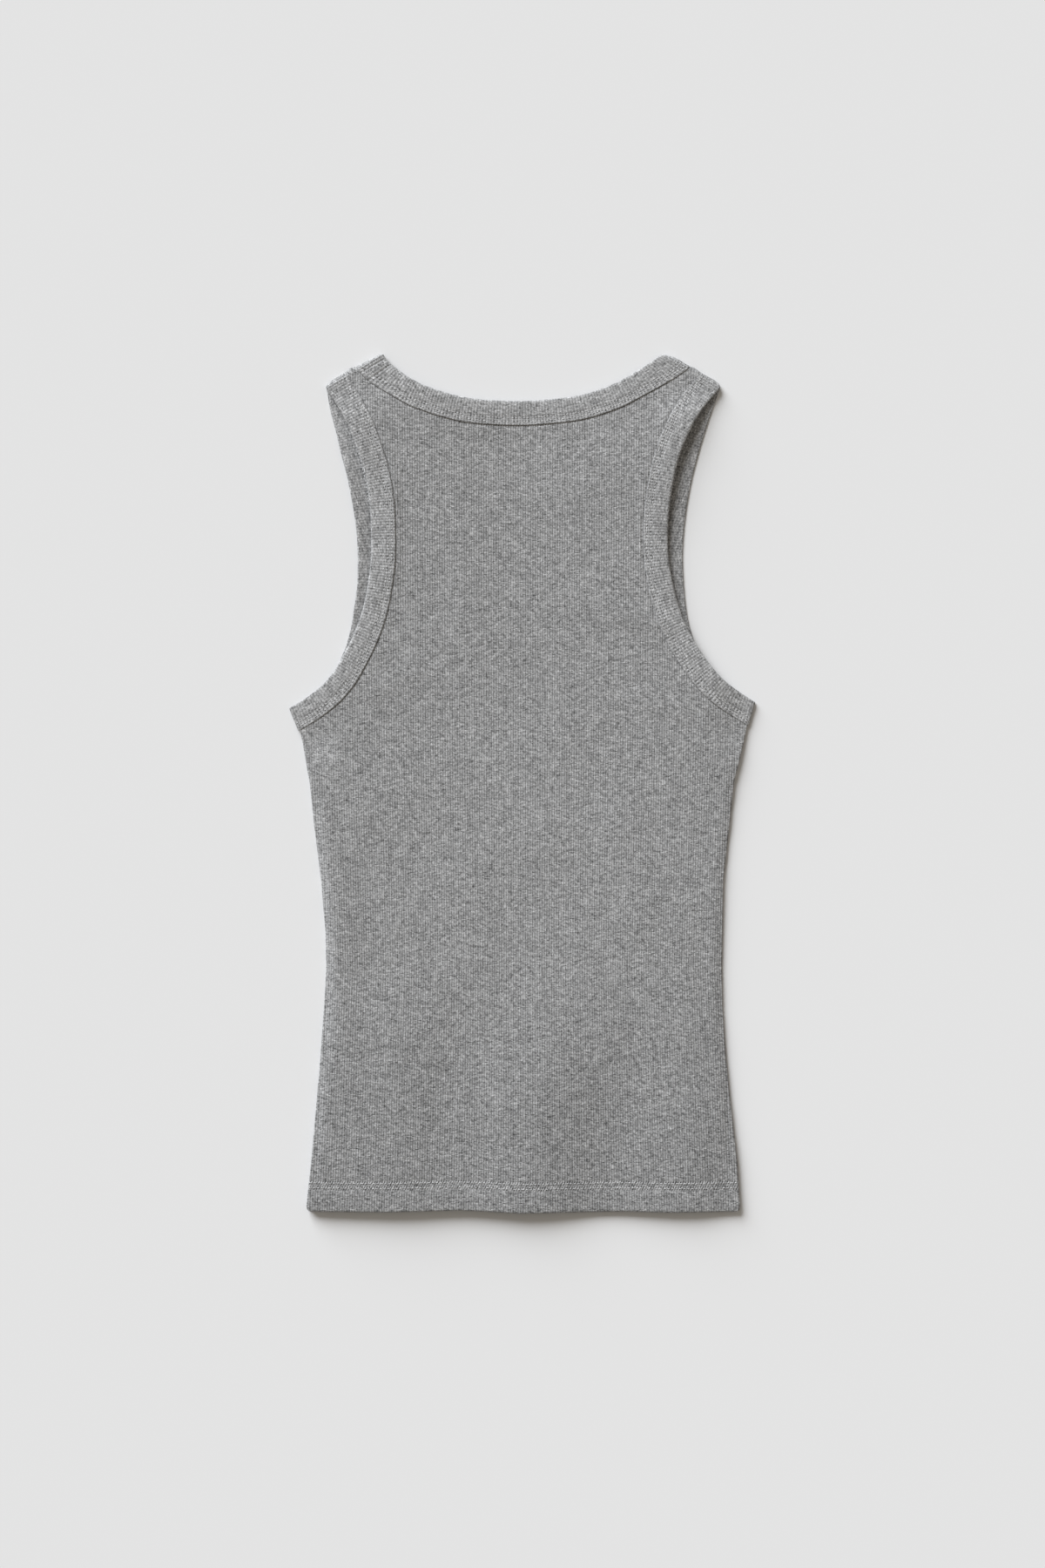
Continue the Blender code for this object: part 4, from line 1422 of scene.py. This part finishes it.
class TankTopStage(bpy.types.PropertyGroup):
    """The floor, the lights and the camera."""

    floor_size: size_property("Floor", "Length of each side of the floor", 8.0, high=40.0)
    floor_colour: colour_property("Floor colour", "Colour of the floor", (0.795, 0.795, 0.795))
    sun: share_property("Key light", "Strength of the key light", 5.76, 20.0)
    sun_colour: colour_property("Key colour", "Colour of the key light", (0.905, 0.937, 0.981))
    fill_colour: colour_property("Fill colour", "Colour of the light from all round", (1.0, 0.92, 0.81))
    sun_spread: angle_property("Key spread", "How wide the key light looks from the cloth", 44.0)
    sun_height: angle_property("Key height", "Angle of the key light above the floor", 24.0)
    sun_side: angle_property("Key side", "Angle of the key light left of the way to the shoulders", 34.0)
    fill: share_property("Fill light", "Strength of the light from all round", 0.295, 20.0)
    distance: size_property("Camera distance", "From the floor to the camera", 2.2, high=20.0)
    frame_height: size_property("Frame height", "Length of floor that the frame shows", 1.116, high=20.0)


def knit_of(scene):
    """The knit's settings, with the sizes that the shapes need in millimetres."""
    group = scene.tank_top_knit
    knit = SimpleNamespace(**{key: getattr(group, key) for key in group.__annotations__})
    for key in ("body_pitch", "band_pitch", "rise", "course"):
        setattr(knit, key, mm(getattr(group, key)))
    return knit


def dress(piece, material, node):
    """Give a piece its cloth, hang it from the root, and hide the solid that it replaces."""
    piece.data.materials.clear()
    piece.data.materials.append(material)
    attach(piece, "root")
    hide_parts(node)


def body_cloth(knit):
    """The heather jersey that both panels are cut from, made once."""
    made = bpy.data.materials.get("body_heather")
    return made or jersey("body_heather", knit.body_pitch, HEM_ROWS, PULLED, 1, knit, knit.painted_hem_shade)


def plan_area(outline):
    """The area of a panel's cut in square metres."""
    x, y = array(outline).T
    return abs(float(np.dot(x, np.roll(y, -1)) - np.dot(y, np.roll(x, -1)))) / 2 * METRES**2


def plan_size(outline):
    """The cut's width and length in metres."""
    size = np.ptp(array(outline), axis=0) * METRES
    return float(size[0]), float(size[1])


def stitches(name, rows):
    """A piece of sewing from rows of (points, ways up, closed)."""
    sewing = bpy.context.scene.tank_top_sewing
    thread = bpy.data.materials.get("sewing_thread") or thread_material(sewing.colour)
    tree = bpy.data.node_groups.get("tank_top_stitches") or stitch_tree(thread)
    values = {key.capitalize(): getattr(sewing, key) for key in ("step", "length", "thread", "height")}
    meshes = []
    for seed, (points, ups, closed) in enumerate(rows, start=1):
        path = stitch_path(f"{name}_path", points, ups, closed)
        meshes.append(sewn(path, tree, {**values, "Seed": seed}, thread))
    piece = joined(name, meshes, thread)
    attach(piece, "root")
    return piece


def hem_rows(layer, rise):
    """The hem's two rows on the outer face of a panel."""
    rows = []
    for reach in HEM_ROWS:
        y = HEM + reach
        left, right = (float(read_column(SIDES, y, column)) for column in (1, 2))
        x = np.arange(left + ROW_ENDS, right - ROW_ENDS, ROW_POINTS)
        heights = np.full_like(x, y)
        if layer == "back":
            z, way = back_top(x, heights) - ROW_SUNK + rise * ROW_ON_RIBS["hem"], 1.0
        else:
            z, way = front_bottom(x, heights) + ROW_SUNK, -1.0
        ups = np.tile((0.0, 0.0, way), (len(x), 1))
        rows.append((np.column_stack([x, hem_moved(x, heights), z]), ups, False))
    return rows


def ring_rows(ring, rise):
    """A binding's two rows, right round it, on its outer and its inner face."""
    rows = []
    sunk = BAND_ROW_SUNK - rise * ROW_ON_RIBS["band"]
    for across in BAND_ROWS:
        for level, way in ((BAND_THICK - sunk, 1.0), (sunk, -1.0)):
            points = ring.line(across, level)
            rows.append((points, ring.line(across, level + way) - points, True))
    return rows


def make_panel(context, layer, ribbed, plain):
    """A panel with its hem's stitches; ribbed and plain are its faces with and without ribs."""
    knit = knit_of(context.scene)
    outline = panel_outline(layer)
    guides = {ribbed: ribbed_guides(knit.body_pitch, layer), plain: plain_guides(layer)}
    piece = closed_panel(f"{layer}_panel_jersey", layer, outline, guides, knit)
    dress(piece, body_cloth(knit), f"{layer}_panel")
    hem = stitches(f"{layer}_hem_stitches", hem_rows(layer, knit.rise))
    plan_size(outline)
    plan_area(outline)
    return {"FINISHED"}


class TANKTOP_OT_back_panel(bpy.types.Operator):
    """Make the back panel with its hem and the hem's stitches"""

    bl_idname = "tanktop.back_panel"
    bl_label = "Back Panel"

    def execute(self, context):
        return make_panel(context, "back", "upper", "lower")


class TANKTOP_OT_front_panel(bpy.types.Operator):
    """Make the front panel with its hem and the hem's stitches"""

    bl_idname = "tanktop.front_panel"
    bl_label = "Front Panel"

    def execute(self, context):
        return make_panel(context, "front", "lower", "upper")


class TANKTOP_OT_bindings(bpy.types.Operator):
    """Make the neck and armhole bindings with their stitches"""

    bl_idname = "tanktop.bindings"
    bl_label = "Bindings"

    def execute(self, context):
        knit = knit_of(context.scene)
        rows = [round_fold(across) for across in BAND_ROWS]
        pitch, bright = knit.band_pitch, knit.binding
        cloth = jersey("binding_heather", pitch, rows, PULLED_BAND, 0, knit, bright=bright)
        for place, side, name, node in BINDINGS:
            ring = Ring(name, place, side, pitch)
            piece = ring.mesh(knit.rise)
            dress(piece, cloth, node)
            sewing = stitches(f"{name}_stitches", ring_rows(ring, knit.rise))
        return {"FINISHED"}


class TANKTOP_OT_stage(bpy.types.Operator):
    """Make the floor, the lights and the camera"""

    bl_idname = "tanktop.stage"
    bl_label = "Stage"

    def execute(self, context):
        stage = context.scene.tank_top_stage
        half = stage.floor_size / 2
        corners = [(x * half, y * half, FLOOR_LEVEL) for x, y in ((-1, -1), (1, -1), (1, 1), (-1, 1))]
        mesh = bpy.data.meshes.new("floor")
        mesh.from_pydata(corners, [], [(0, 1, 2, 3)])
        paint = {"Base Color": (*stage.floor_colour, 1.0), **FLOOR_SURFACE}
        mesh.materials.append(Paint("floor_paint").surface(paint))
        add_object("floor", mesh)

        key = bpy.data.lights.new("key", "SUN")
        key.energy, key.angle, key.color = stage.sun, stage.sun_spread, stage.sun_colour
        level = math.cos(stage.sun_height)
        across, along = -math.sin(stage.sun_side) * level, math.cos(stage.sun_side) * level
        towards = Vector((across, along, math.sin(stage.sun_height)))
        lamp = add_object("key", key)
        lamp.rotation_euler = towards.to_track_quat("Z", "Y").to_euler()
        lamp.location = towards * stage.distance

        world = bpy.data.worlds.new("room")
        world.use_nodes = True
        glow = world.node_tree.nodes["Background"]
        glow.inputs["Color"].default_value = (*stage.fill_colour, 1.0)
        glow.inputs["Strength"].default_value = stage.fill
        context.scene.world = world

        lens = bpy.data.cameras.new("camera")
        lens.lens = lens.sensor_width * stage.distance / stage.frame_height
        camera = add_object("camera", lens)
        camera.location = (*CAMERA_PLACE, stage.distance)
        context.scene.camera = camera
        context.scene.view_settings.view_transform = "Standard"
        return {"FINISHED"}


class TANKTOP_PT_panel(bpy.types.Panel):
    """Lists the operators that make the tank top"""

    bl_idname = "TANKTOP_PT_panel"
    bl_label = "Tank Top"
    bl_space_type = "VIEW_3D"
    bl_region_type = "UI"
    bl_category = "Tank Top"

    def draw(self, context):
        for name in GROUPS:
            group = getattr(context.scene, name)
            column = self.layout.column()
            for key in group.__annotations__:
                column.prop(group, key)
        for operator in OPERATORS:
            self.layout.operator(operator.bl_idname)


OPERATORS = (TANKTOP_OT_back_panel, TANKTOP_OT_front_panel, TANKTOP_OT_bindings, TANKTOP_OT_stage)
GROUPS = {
    "tank_top_knit": TankTopKnit,
    "tank_top_sewing": TankTopSewing,
    "tank_top_stage": TankTopStage,
}


def register():
    for made in (*GROUPS.values(), *OPERATORS, TANKTOP_PT_panel):
        bpy.utils.register_class(made)
    for name, group in GROUPS.items():
        setattr(bpy.types.Scene, name, bpy.props.PointerProperty(type=group))


def unregister():
    for name in GROUPS:
        delattr(bpy.types.Scene, name)
    for made in (TANKTOP_PT_panel, *OPERATORS, *GROUPS.values()):
        bpy.utils.unregister_class(made)


def main():
    register()
    for operator in ("back_panel", "front_panel", "bindings", "stage"):
        getattr(bpy.ops.tanktop, operator)()


if __name__ == "__main__":
    main()
